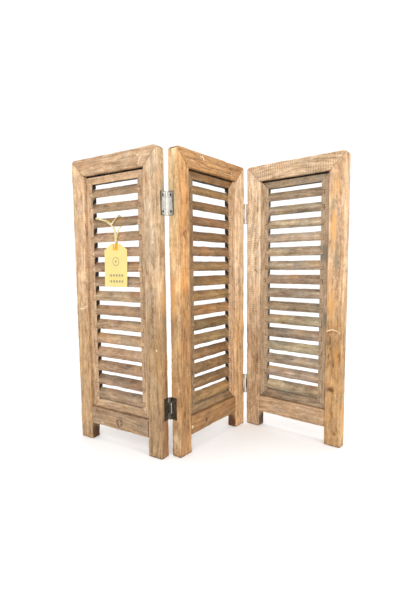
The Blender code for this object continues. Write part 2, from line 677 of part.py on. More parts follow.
# The string is tied round the tag's slat. It runs from its free end through the knot down to the
# tag, through the eyelet and over the tag's top edge, up under the slat, round its back, over
# its top and down its front to the knot again.
# Each point is (along the panel, back from the panel's front, height).
STRING_ROUTE = [
    (71.5, 5.0, 535.0), (79.0, 4.0, 532.6), (87.4, 3.4, 530.2), (95.0, 3.0, 528.2),
    (103.0, 2.8, 525.6), (111.0, 2.6, 521.8), (117.5, 3.0, 517.4), (122.5, 3.8, 513.0),
    (126.4, 4.6, 508.2), (129.2, 4.8, 502.0), (130.4, 4.4, 494.0), (130.8, 4.0, 485.5),
    (130.4, 3.6, 477.5), (129.0, 3.6, 471.0), (127.4, 4.4, 467.2), (127.0, 6.6, 466.3),
    (127.2, 9.2, 467.6), (128.4, 10.2, 471.6), (130.0, 9.0, 475.4), (131.4, 6.4, 478.0),
    (132.6, 4.8, 482.0), (134.6, 4.2, 490.0), (137.6, 4.4, 498.6), (141.2, 5.0, 505.0),
    (143.8, 6.4, 509.8), (144.8, 9.2, 512.8), (144.8, 14.0, 517.3), (144.4, 18.6, 521.8),
    (142.6, 20.8, 525.6), (137.4, 20.8, 530.6), (132.0, 20.6, 535.0), (128.8, 18.6, 537.2),
    (127.6, 13.6, 532.8), (126.4, 8.6, 528.2), (124.6, 5.2, 523.4), (121.8, 4.4, 519.6),
    (118.4, 3.6, 517.2),
]
STRING_PARTS = 2


def smooth(route, parts_each):
    """Points along a smooth curve through the route's points."""
    points = [Vector(point) * MM for point in route]
    padded = [2 * points[0] - points[1], *points, 2 * points[-1] - points[-2]]
    found = []
    for before, start, end, after in zip(padded, padded[1:], padded[2:], padded[3:]):
        for step in range(parts_each):
            t = step / parts_each
            found.append((2 * start + (end - before) * t
                          + (2 * before - 5 * start + 4 * end - after) * t * t
                          + (3 * start - before - 3 * end + after) * t * t * t) / 2)
    found.append(points[-1])
    return found


string_curve = bpy.data.curves.new("tag_string", "CURVE")
string_curve.dimensions = "3D"
string_curve.bevel_depth = STRING_RADIUS
string_curve.bevel_resolution = 2
string_curve.use_fill_caps = True
string_points = smooth(STRING_ROUTE, STRING_PARTS)
string_line = string_curve.splines.new("POLY")
string_line.points.add(len(string_points) - 1)
for string_point, at in zip(string_line.points, string_points):
    string_point.co = (at.x, at.y, at.z, 1.0)
put("tag_string", string_curve, CORNER["left"], left_joint, TWINE)

# ---- stand the screen's middle on the origin ----------------------------------------------

bpy.context.view_layer.update()
graph = bpy.context.evaluated_depsgraph_get()
reach_x = []
reach_y = []
for piece in parts.objects:
    if piece.type == "MESH":
        solid = piece.evaluated_get(graph)
        for bound in solid.bound_box:
            at = solid.matrix_world @ Vector(bound)
            reach_x.append(at.x)
            reach_y.append(at.y)
screen.location = (-(min(reach_x) + max(reach_x)) / 2, -(min(reach_y) + max(reach_y)) / 2, 0.0)
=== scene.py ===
# Looks of the folding room divider: reclaimed-wood boards, sloping slats, steel butt hinges and
# a paper hang tag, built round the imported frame. Every piece is worked out in its panel's own
# coordinates: along the width from the left edge, back from the front face, up from the floor.

import json
import math

import bpy
import numpy as np
from bpy.props import FloatProperty, FloatVectorProperty, IntProperty, PointerProperty
from mathutils import Matrix, Vector


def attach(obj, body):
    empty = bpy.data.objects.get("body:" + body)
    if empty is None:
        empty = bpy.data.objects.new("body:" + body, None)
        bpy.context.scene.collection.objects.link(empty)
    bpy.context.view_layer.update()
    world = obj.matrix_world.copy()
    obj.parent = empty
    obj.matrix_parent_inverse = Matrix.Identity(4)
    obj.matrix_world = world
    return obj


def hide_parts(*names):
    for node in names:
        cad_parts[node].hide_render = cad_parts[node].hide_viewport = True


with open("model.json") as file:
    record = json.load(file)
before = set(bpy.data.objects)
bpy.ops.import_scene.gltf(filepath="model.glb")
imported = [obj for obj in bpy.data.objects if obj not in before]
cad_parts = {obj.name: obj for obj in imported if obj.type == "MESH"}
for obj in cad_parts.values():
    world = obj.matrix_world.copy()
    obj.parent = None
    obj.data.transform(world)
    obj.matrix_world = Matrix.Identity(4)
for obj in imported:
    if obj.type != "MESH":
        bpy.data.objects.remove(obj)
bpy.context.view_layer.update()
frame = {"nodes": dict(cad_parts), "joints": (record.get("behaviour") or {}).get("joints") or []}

bl_info = {
    "name": "Folding Room Divider",
    "version": (1, 0, 0),
    "blender": (4, 5, 0),
    "location": "View3D > Sidebar > Divider",
    "description": "Builds a louvred three-panel room divider in reclaimed wood",
    "category": "Add Mesh",
}

MM = 0.001
TAU = math.tau

# ---- the frame's own sizes ----------------------------------------------------------------

MIDDLE_TURN = 45.0
FOLD = {joint["name"]: joint["range_deg"][1] for joint in frame["joints"]}
AXIS = {joint["name"]: np.array(joint["pos_m"]) for joint in frame["joints"]}
GLUE_GAP = 0.3 * MM
CORNER_RADIUS = 6 * MM
SLAT_COUNT = 15
SLAT_FACE = 11.5 * MM
SLAT_RISE = 11 * MM
LOUVRE_DEPTH = 12 * MM
SLAT_SLOPE = SLAT_RISE / LOUVRE_DEPTH
SIDES = ("left", "middle", "right")


def node_points(node):
    """The corners of a CAD node's mesh, as rows."""
    mesh = frame["nodes"][node].data
    points = np.empty(len(mesh.vertices) * 3)
    mesh.vertices.foreach_get("co", points)
    return points.reshape(-1, 3)


class Leaf:
    """One panel of the screen, with the way between its own coordinates and the frame's."""

    def __init__(self, side, turn):
        cos, sin = math.cos(math.radians(turn)), math.sin(math.radians(turn))
        self.axes = np.array([[cos, sin, 0.0], [-sin, cos, 0.0], [0.0, 0.0, 1.0]])
        ends = [node_points(f"{side}_stile_{end}") @ self.axes.T for end in ("left", "right")]
        self.origin = np.concatenate(ends).min(axis=0)
        self.turn = math.radians(turn)
        self.body = f"{side}_panel"

    def world(self, local):
        """Points of the panel in the frame."""
        return (local + self.origin) @ self.axes

    def local(self, world):
        """Points of the frame in the panel."""
        return world @ self.axes.T - self.origin

    def box(self, node):
        """A node's lowest and highest corners in the panel's coordinates."""
        points = self.local(node_points(node))
        return points.min(axis=0), points.max(axis=0)


PANELS = {
    "left": Leaf("left", MIDDLE_TURN - FOLD["left_fold"]),
    "middle": Leaf("middle", MIDDLE_TURN),
    "right": Leaf("right", MIDDLE_TURN - FOLD["right_fold"]),
}
STILE_HIGH = PANELS["middle"].box("middle_stile_left")[1]
PANEL_WIDTH = PANELS["middle"].box("middle_stile_right")[1][0]
PANEL_HEIGHT = STILE_HIGH[2]
SLATS_LOW, SLATS_HIGH = (corner[2] for corner in PANELS["middle"].box("middle_slats"))
SLAT_PITCH = (SLATS_HIGH - SLATS_LOW - SLAT_FACE - SLAT_RISE) / (SLAT_COUNT - 1)
LOUVRE_FRONT = PANELS["middle"].box("middle_louvre_stile_left")[0][1]
LOUVRE_EDGE = PANELS["middle"].box("middle_louvre_stile_left")[1][0]

# The slats' ends lie in the louvre stiles' open notches, this far from the panel's edges.
SLAT_START = 50.8 * MM
SLAT_STATIONS = 44
SLAT_ARRIS_APART = 30 * MM

# ---- marks and painted shade on the boards ------------------------------------------------
# A spot is (kind, along the width, height, half width, half height, strength) in millimetres.
# A stroke is (kind, start, end, width, bow, strength) from one (width, height) to another.

SPOTS = {
    "left_stile_left": [
        ("dark", 41, 510, 3, 16, 0.9), ("dark", 37, 440, 2.4, 60, 0.55), ("grey", 12, 560, 9, 50, 0.5),
        ("red", 12, 455, 7, 70, 0.45), ("warm", 30, 300, 6, 90, 0.35), ("red", 30, 200, 5, 60, 0.4),
        ("grey", 10, 120, 9, 60, 0.4), ("knot", 24, 388, 4, 7, 0.7), ("dark", 8, 60, 4, 30, 0.35),
    ],
    "left_stile_right": [
        ("grey", 228, 470, 9, 110, 0.5), ("grey", 222, 330, 7, 60, 0.45), ("pale", 240, 473, 4, 2.5, 1.0),
        ("pale", 243, 242, 3.5, 2.2, 0.9), ("warm", 249, 260, 4, 150, 0.75), ("warm", 250, 560, 3, 60, 0.5),
        ("red", 224, 600, 10, 30, 0.45), ("dark", 232, 150, 2.5, 40, 0.4), ("red", 240, 90, 8, 60, 0.3),
        ("knot", 229, 196, 4, 7, 0.6),
    ],
    "left_top_rail": [
        ("red", 60, 655, 60, 14, 0.45), ("red", 190, 645, 50, 12, 0.3), ("pale", 203, 655, 4, 2, 0.8),
        ("dark", 128, 650, 3, 1.6, 0.5), ("grey", 120, 664, 30, 4, 0.4),
    ],
    "left_bottom_rail": [
        ("knot", 129, 58, 6, 6, 0.45), ("ring", 129, 58, 9, 8, 1.0), ("ring", 129, 58, 4.6, 4, 1.0),
        ("pale", 129, 58, 3.4, 2.6, 0.45), ("pale", 72, 48, 6, 2, 0.8),
        ("pale", 176, 70, 5, 2, 0.6), ("grey", 190, 60, 24, 12, 0.5), ("dark", 96, 72, 8, 2, 0.5),
    ],
    "middle_stile_left": [
        ("knot", 25, 490, 5, 9, 1.0), ("ring", 25, 490, 5, 8, 0.8), ("warm", 26, 560, 10, 70, 0.6),
        ("warm", 20, 380, 12, 60, 0.55), ("dark", 34, 500, 2.2, 60, 0.4), ("red", 24, 250, 9, 80, 0.4),
        ("pale", 4, 400, 2.4, 190, 0.5), ("grey", 6, 600, 5, 50, 0.5), ("dark", 14, 180, 2.4, 30, 0.4),
        ("knot", 17, 95, 4, 7, 0.7),
    ],
    "middle_stile_right": [
        ("pale", 229, 560, 3, 2.2, 0.8), ("knot", 236, 330, 4.5, 8, 0.6), ("warm", 232, 250, 9, 90, 0.4),
        ("red", 240, 120, 7, 70, 0.45), ("grey", 247, 500, 3, 110, 0.4), ("dark", 226, 210, 2, 40, 0.4),
    ],
    "middle_top_rail": [
        ("pale", 80, 660, 4, 5, 0.75), ("pale", 198, 646, 3, 1.6, 0.8), ("dark", 150, 636, 60, 2.2, 0.4),
        ("warm", 70, 650, 40, 8, 0.4), ("dark", 196, 652, 20, 2, 0.4),
    ],
    "middle_bottom_rail": [
        ("knot", 92, 60, 7, 8, 1.0), ("dark", 92, 60, 4.5, 4, 0.9), ("pale", 41, 58, 4, 4, 0.9),
        ("red", 150, 60, 50, 16, 0.4), ("dark", 170, 50, 24, 3, 0.35), ("pale", 63, 76, 5, 1.6, 0.5),
    ],
    "right_stile_left": [
        ("knot", 25, 411, 3.6, 4.6, 1.0), ("dark", 25, 411, 2.0, 2.6, 1.0), ("pale", 15, 512, 4, 2, 0.8),
        ("pale", 12, 271, 3, 2, 0.8), ("pale", 8, 150, 8, 70, 0.45), ("knot", 2, 55, 5, 6, 0.9),
        ("red", 30, 330, 6, 100, 0.3), ("dark", 33, 560, 2, 60, 0.3), ("grey", 26, 610, 9, 24, 0.35),
    ],
    "right_stile_right": [
        ("grey", 226, 540, 4, 34, 1.0), ("grey", 236, 430, 5, 46, 1.0), ("grey", 226, 470, 3, 30, 0.8),
        ("warm", 228, 505, 6, 44, 1.0), ("warm", 233, 600, 8, 30, 0.8), ("pale", 231, 500, 1.6, 16, 0.5),
        ("red", 244, 480, 5, 90, 0.35), ("dark", 240, 428, 4, 5, 0.5), ("dark", 226, 250, 3, 18, 0.6),
        ("dark", 231, 205, 2.6, 26, 0.5), ("dark", 228, 134, 10, 8, 0.8), ("knot", 234, 134, 7, 8, 0.9),
        ("knot", 240, 30, 5, 6, 0.9), ("dark", 240, 30, 2.4, 3, 0.7), ("warm", 226, 330, 7, 60, 0.8),
        ("warm", 240, 215, 7, 50, 0.7), ("warm", 224, 80, 8, 40, 0.5), ("red", 222, 590, 5, 40, 0.4),
        ("knot", 233, 560, 4, 7, 0.6),
    ],
    "right_top_rail": [
        ("grey", 120, 660, 50, 8, 0.35), ("dark", 60, 640, 20, 2, 0.35), ("pale", 180, 664, 30, 3, 0.4),
    ],
    "right_bottom_rail": [
        ("grey", 100, 58, 40, 10, 0.4), ("pale", 150, 74, 10, 2, 0.6), ("dark", 190, 52, 10, 3, 0.4),
        ("knot", 74, 62, 5, 5, 0.6),
    ],
    "right_louvre_rail_top": [("grey", 110, 620, 50, 9, 0.7), ("red", 183, 616, 6, 3, 0.8)],
    "left_louvre_rail_bottom": [("dark", 90, 92, 20, 2, 0.4)],
    "middle_louvre_rail_top": [("dark", 100, 625, 30, 2.5, 0.5), ("grey", 150, 618, 30, 6, 0.4)],
}
STROKES = {
    "left_stile_left": [("pale", (9, 322), (36, 331), 1.8, -4, 0.75)],
    "left_top_rail": [("pale", (205, 636), (211, 652), 1.6, 1, 0.8),
                      ("dark", (20, 640), (90, 637), 1.2, 0, 0.35)],
    "middle_top_rail": [
        ("dark", (40, 652), (205, 644), 1.7, -3, 0.6), ("pale", (44, 649), (200, 641), 1.5, -3, 0.45),
        ("pale", (86, 664), (92, 655), 1.8, 0, 0.9),
    ],
    "middle_stile_right": [("dark", (220, 548), (238, 543), 1.5, 2, 0.75)],
    "right_stile_left": [("pale", (2, 205), (22, 118), 2.4, 9, 0.5),
                         ("dark", (12, 60), (20, 20), 1.6, 2, 0.4)],
    "right_stile_right": [
        ("pale", (218, 271), (247, 268), 1.7, 5, 1.0), ("dark", (220, 267), (245, 264), 1.4, 5, 0.8),
        ("dark", (224, 245), (226, 228), 1.3, 0, 1.0), ("dark", (237, 252), (236, 240), 1.3, 0, 0.9),
        ("dark", (223, 218), (225, 196), 1.4, 0, 1.0), ("dark", (233, 214), (234, 188), 1.3, 0, 0.9),
        ("dark", (224, 250), (232, 190), 1.8, 2, 0.6), ("dark", (238, 230), (234, 160), 1.6, -2, 0.5),
    ],
    "left_bottom_rail": [("dark", (60, 60), (112, 63), 1.2, 1, 0.4),
                         ("pale", (140, 66), (182, 62), 1.4, 1, 0.5)],
}
# Spots on the stiles' sides. These dark ones are painted shade: low on the inner sides of the feet (38.5
# and 215.5 across), beside the hinges at the middle panel's right edge, and along the right panel's left
# edge.
SIDE_SPOTS = {
    "left_stile_right": [("dark", 254, 450, 3, 22, 0.4), ("red", 254, 445, 4, 40, 0.42),
                         ("red", 254, 610, 4, 30, 0.45), ("red", 254, 40, 4, 50, 0.5)],
    "middle_stile_right": [("dark", 254, 590, 2.6, 9, 1.0), ("dark", 254, 512, 2.6, 10, 1.0),
                           ("dark", 254, 175, 2.6, 10, 0.8), ("dark", 215.5, 14, 1.3, 26, 1.0)],
    "right_stile_left": [("dark", 0, 190, 1.7, 190, 1.0), ("dark", 38.5, 14, 1.3, 26, 0.85)],
    "left_stile_left": [("dark", 38.5, 14, 1.3, 26, 1.0)],
    "middle_stile_left": [("grey", 0, 560, 3, 60, 0.6), ("pale", 0, 640, 3, 22, 0.4),
                          ("pale", 0, 40, 3, 40, 0.4)],
}
# Side faces that differ from their board's front: which way the face looks along the width,
# and the colour's ratio to the front's low down and high up.
SIDE_TONES = {
    "left_stile_right": (1, (1.02, 0.97, 0.90), (1.06, 1.08, 1.02)),
    "middle_stile_left": (-1, (1.18, 1.28, 1.42), (1.20, 1.55, 2.00)),
}
NICKS = {
    "left_stile_left": [(0, 240, 5, 0.8), (38, 92, 4, 0.8), (0, 655, 4, 1.2)],
    "left_stile_right": [(243, 473, 4, 0.9), (254, 372, 7, 1.1), (254, 242, 5, 1.2), (216, 520, 5, 0.7)],
    "middle_stile_left": [(0, 330, 8, 1.0), (0, 150, 5, 1.2), (39, 388, 5, 0.8)],
    "middle_stile_right": [(254, 300, 6, 1.0), (254, 540, 5, 0.8), (229, 560, 3, 0.6)],
    "right_stile_left": [(0, 470, 6, 0.8), (0, 212, 6, 1.0), (15, 512, 4, 0.6)],
    "right_stile_right": [(254, 415, 8, 1.2), (254, 180, 6, 1.0), (232, 274, 10, 0.7), (254, 610, 5, 0.9)],
    "left_top_rail": [(203, 655, 5, 0.7), (120, 670, 8, 0.9)],
    "middle_top_rail": [(88, 662, 4, 0.8), (180, 670, 6, 0.9)],
    "right_top_rail": [(60, 670, 6, 0.9), (190, 632, 6, 0.8)],
    "left_bottom_rail": [(72, 48, 6, 0.8), (160, 41, 7, 1.0)],
    "middle_bottom_rail": [(41, 58, 5, 1.0), (120, 41, 6, 1.0)],
    "right_bottom_rail": [(150, 74, 8, 0.7), (90, 41, 6, 0.9)],
}

# Painted shadow under the slats on the louvre stiles' inner sides: how light it leaves them, as a share of
# their own tone.
SLAT_SHADOW_SHARE = {"left": 0.04, "middle": 0.05, "right": 0.16}

# Painted light and shade on the slats: how much darker they are below their middle than above it, from the
# least to the most.
SLAT_SHADE = {"left": (0.02, 0.18), "middle": (0.12, 0.32), "right": (0.15, 0.35)}

# How clear the saw ripples are on the boards that show them.
SAWN = {"right_top_rail": 0.75, "right_stile_left": 0.45, "left_stile_left": 0.25,
        "left_bottom_rail": 0.45}

# ---- shapes -------------------------------------------------------------------------------

# Where a board's sections stand: close together at its ends and even between them.
END_STATIONS = np.array([0.0, 0.35, 0.8, 1.4, 2.2, 3.2]) * MM
FIRST_STATION = 4.5 * MM
BOARD_STEP = 2.6 * MM
CUT_EASE = 0.4 * MM
SEAM_WIDTH = 0.55 * MM
# How far apart the four arrises are in the noise that makes them wander.
ARRIS_APART = 50 * MM


def wander(seed, points, size, octaves=3):
    """Smooth values from about -1 to 1: four sine waves in random directions per octave, each
    octave half as long as the last and 0.6 as strong."""
    draw = np.random.default_rng(seed)
    total = np.zeros(points.shape[:-1])
    for octave in range(octaves):
        for _ in range(4):
            way = draw.normal(size=3)
            way *= TAU * 2**octave / (size * np.linalg.norm(way))
            total += 0.6**octave * np.sin(points @ way + draw.uniform(0, TAU))
    return total / 3.0


def tube(rings):
    """Points and faces of rings joined one to the next, each end closed by a fan of faces to
    the middle of its last ring."""
    count, around = rings.shape[:2]
    index = np.arange(count * around).reshape(count, around)
    beside = np.roll(index, -1, axis=1)
    quads = np.stack([index[:-1], beside[:-1], beside[1:], index[1:]], axis=-1).reshape(-1, 4)
    low = np.full(around, count * around)
    fans = np.concatenate([np.stack([beside[0], index[0], low], axis=-1),
                           np.stack([index[-1], beside[-1], low + 1], axis=-1)])
    points = np.concatenate([rings.reshape(-1, 3), rings[[0, -1]].mean(axis=1)])
    return points, quads.tolist() + fans.tolist()


def hoop(rings):
    """Points and faces of rings joined one to the next and the last to the first."""
    count, around = rings.shape[:2]
    index = np.arange(count * around).reshape(count, around)
    beside = np.roll(index, -1, axis=1)
    quads = np.stack([index, beside, np.roll(beside, -1, axis=0), np.roll(index, -1, axis=0)],
                     axis=-1)
    return rings.reshape(-1, 3), quads.reshape(-1, 4).tolist()


def outward(points, faces):
    """The faces with their order turned where the closed shell's volume comes out negative."""
    corners = np.array([face[:3] for face in faces])
    a, b, c = (points[corners[:, k]] for k in range(3))
    volume = np.einsum("ij,ij->", a, np.cross(b, c))
    fours = np.array([(face[0], face[2], face[3]) for face in faces if len(face) == 4])
    if len(fours):
        a, b, c = (points[fours[:, k]] for k in range(3))
        volume += np.einsum("ij,ij->", a, np.cross(b, c))
    return faces if volume > 0 else [face[::-1] for face in faces]


def gather(shells):
    """Several closed shells as one list of points and faces."""
    points, faces, start = [], [], 0
    for shell_points, shell_faces in shells:
        middle = shell_points.mean(axis=0)
        turned = outward(shell_points - middle, shell_faces)
        faces += [[corner + start for corner in face] for face in turned]
        points.append(shell_points)
        start += len(shell_points)
    return np.concatenate(points), faces


def piece(name, shells, look, body, replaced, sharp=35.0, data=None):
    """A finished piece: its shells in the frame, its finish, and what it stands for."""
    points, faces = gather(shells)
    mesh = bpy.data.meshes.new(name)
    mesh.from_pydata(points.tolist(), [], faces)
    for title, values in (data or {}).items():
        kind = "FLOAT_COLOR" if values.shape[-1] == 4 else "FLOAT_VECTOR"
        layer = mesh.attributes.new(title, kind, "POINT")
        layer.data.foreach_set("color" if kind == "FLOAT_COLOR" else "vector",
                               values.astype(np.float32).ravel())
    mesh.shade_smooth()
    mesh.set_sharp_from_angle(angle=math.radians(sharp))
    mesh.materials.append(look)
    made = bpy.data.objects.new(name, mesh)
    bpy.context.scene.collection.objects.link(made)
    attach(made, body)
    if replaced:
        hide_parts(*replaced)
    return made


class Section:
    """The points round a board's section. Each is a share of the way from one arris centre to
    the next, moved out by the arris radius along a direction."""

    def __init__(self, front, side, arc=5):
        start, share, angle = [], [], []
        for corner, flat in enumerate((front, side, front, side)):
            turn = math.pi + corner * math.pi / 2
            for step in range(arc):
                start.append(corner)
                share.append(0.0)
                angle.append(turn + step / (arc - 1) * math.pi / 2)
            for step in (0.1, *range(1, flat + 1), flat + 0.9):
                start.append(corner)
                share.append(step / (flat + 1))
                angle.append(turn + math.pi / 2)
        self.start = np.array(start)
        self.stop = (self.start + 1) % 4
        self.share = np.array(share)
        self.way = np.stack([np.cos(angle), np.sin(angle)], axis=-1)
        self.arris = np.abs(self.way).min(axis=-1) * math.sqrt(2)

    def points(self, half, radius):
        """half is (stations, 2), the half width and half depth; radius is (stations, 4)."""
        sign = np.array([(-1, -1), (1, -1), (1, 1), (-1, 1)])
        centre = sign * (half[:, None, :] - radius[:, :, None])
        share = self.share[:, None]
        middle = (1 - share) * centre[:, self.start] + share * centre[:, self.stop]
        reach = (1 - self.share) * radius[:, self.start] + self.share * radius[:, self.stop]
        return middle + reach[:, :, None] * self.way


def soft_end(away, radius):
    """How far a rounded end pulls in at each distance from it: the gap beside a quarter circle."""
    inside = np.clip(radius - away, 0.0, radius)
    return radius - np.sqrt(radius**2 - inside**2)


def spot_distance(points, spot):
    """The square of each point's distance from the spot's middle, in the spot's half sizes."""
    middle, half = np.array(spot[1:3]) * MM, np.array(spot[3:5]) * MM
    return (((points[..., [0, 2]] - middle) / half)**2).sum(axis=-1)


def spot_mask(points, spot, seed):
    """exp(-d squared), where d is the distance from the spot's middle in half sizes, wandered."""
    distance = spot_distance(points, spot) * (1 + 0.45 * wander(seed, points, 16 * MM))
    return spot[-1] * np.exp(-np.clip(distance, 0, 30))


def ring_mask(points, spot, seed):
    """exp(-((d - 1) / 0.22) squared) with d as for a spot: a thin line round it."""
    distance = np.sqrt(spot_distance(points, spot)) * (
        1 + 0.12 * wander(seed, points, 20 * MM))
    return spot[-1] * np.exp(-np.clip((distance - 1) / 0.22, -6, 6)**2)


def stroke_mask(points, stroke):
    """exp(-d squared), where d is the distance from a bowed line in widths."""
    _, start, end, width, bow, strength = stroke
    start, end = np.array(start) * MM, np.array(end) * MM
    run = end - start
    length = np.linalg.norm(run)
    flat = points[..., [0, 2]] - start
    share = flat @ run / length**2
    beside = flat @ np.array([-run[1], run[0]]) / length
    beside = beside - 4 * bow * MM * share * (1 - share)
    past = np.clip(np.abs(share - 0.5) - 0.5, 0, None) * length
    return strength * np.exp(-(beside**2 + past**2) / (width * MM)**2)


MARK_PLACES = {"dark": ("marks", 0), "ring": ("marks", 0), "pale": ("marks", 1), "knot": ("marks", 2),
               "grey": ("stain", 0), "warm": ("stain", 1), "red": ("stain", 2)}


def board_data(name, local, grain, arris, ends, seed, tone=None):
    """The board's marks, stains, wear and tone at each point; some marks and the wear carry painted shade,
    and the arrises a painted highlight. The tone is the board's, from low down to high up (partly its own
    colour, partly painted light from above), unless one is given. Its fourth channel is how clear the saw
    ripples are."""
    data = {"grain": grain, "marks": np.zeros_like(local), "stain": np.zeros_like(local)}
    near_front = np.exp(-np.clip(local[..., 1] - 3 * MM, 0, None) / (6 * MM))
    for number, spot in enumerate(SPOTS.get(name, [])):
        title, place = MARK_PLACES[spot[0]]
        mask = (ring_mask if spot[0] == "ring" else spot_mask)(local, spot, seed + number)
        data[title][..., place] = np.maximum(data[title][..., place], mask * near_front)
        if spot[0] == "knot":
            aside = (local[..., 0] - spot[1] * MM) if grain_is_up(name) else (
                local[..., 2] - spot[2] * MM)
            data["grain"][..., 1] += 0.8 * mask * np.sign(aside) * 3 * MM
    for number, spot in enumerate(SIDE_SPOTS.get(name, [])):
        title, place = MARK_PLACES[spot[0]]
        data[title][..., place] = np.maximum(data[title][..., place],
                                             spot_mask(local, spot, seed + 50 + number))
    for stroke in STROKES.get(name, []):
        title, place = MARK_PLACES[stroke[0]]
        mask = stroke_mask(local, stroke) * near_front
        data[title][..., place] = np.maximum(data[title][..., place], mask)
    # the hidden faces get their own random knots and stains
    draw = np.random.default_rng(seed + 7)
    deep = 1 - near_front
    for title, place, size, count in (("marks", 2, 5, 2), ("marks", 0, 3, 3), ("stain", 0, 14, 4),
                                      ("stain", 1, 12, 3), ("stain", 2, 12, 3)):
        for _ in range(count):
            spot = local.reshape(-1, 3)[draw.integers(0, local.size // 3)] / MM
            spread = draw.uniform(0.7, 1.4) * size
            long = spread * draw.uniform(1.5, 5)
            wide, tall = (spread, long) if grain_is_up(name) else (long, spread)
            mask = spot_mask(local, ("", spot[0], spot[2], wide, tall, draw.uniform(0.4, 0.9)),
                             seed + 90)
            data[title][..., place] = np.maximum(data[title][..., place], mask * deep)
    # painted shade at the very foot of each stile, where it meets the floor, as a dark mark
    if "stile" in name:
        foot = 0.75 * np.exp(-(local[..., 2] / (3.2 * MM))**2) * (1 + 0.5 * wander(
            seed + 2, local, 12 * MM))
        data["marks"][..., 0] = np.maximum(data["marks"][..., 0], foot)
    # wear and painted shade: the arrises' rub with its painted highlight, end grain, and the crevice
    # channel of dark joints and painted shade
    data["wear"] = np.stack([arris, ends[0], ends[1]], axis=-1)
    if tone is None:
        # blended from the low tone to the high one: partly the board's own colour, partly painted light
        # from above
        rise = np.clip((local[..., 2] / PANEL_HEIGHT - 0.35) / 0.3, 0, 1)
        rise = (rise * rise * (3 - 2 * rise))[..., None]
        tone = (1 - rise) * np.array(TONES[name][0]) + rise * np.array(TONES[name][-1])
    tone = tone * (1 + 0.06 * wander(seed + 3, local, 160 * MM)[..., None])
    tone = tone * (1 + 0.05 * wander(seed + 4, local, 60 * MM)[..., None] * (1.0, 0.4, -0.6))
    sawn = np.full(tone.shape[:-1] + (1,), SAWN.get(name, 0.08))
    data["tone"] = np.concatenate([tone, sawn], axis=-1)
    return data


def grain_is_up(name):
    """True for a stile, whose grain runs up; false for a rail or a slat."""
    return "stile" in name


def nick_depth(name, local):
    """How far each point is pressed in by the board's nicks: a bell in width and height."""
    depth = np.zeros(local.shape[:-1])
    for along, height, size, deep in NICKS.get(name, []):
        away = (local - np.array([along, 0, height]) * MM) / (np.array([size, 9, size]) * MM)
        depth += deep * MM * np.exp(-(away**2).sum(axis=-1))
    return depth


def flat_data(data):
    """Each attribute as rows, with the two points that close the ends added."""
    rows = {}
    for title, values in data.items():
        ends = values[[0, -1]].mean(axis=1)
        rows[title] = np.concatenate([values.reshape(-1, values.shape[-1]), ends])
    return rows


def end_pull(away, foot):
    """How far a board's section shrinks at each distance from its end: a quarter circle at a
    rounded foot, or a slight taper."""
    return soft_end(away, foot) if foot else CUT_EASE * np.clip(1 - away / MM, 0, 1)


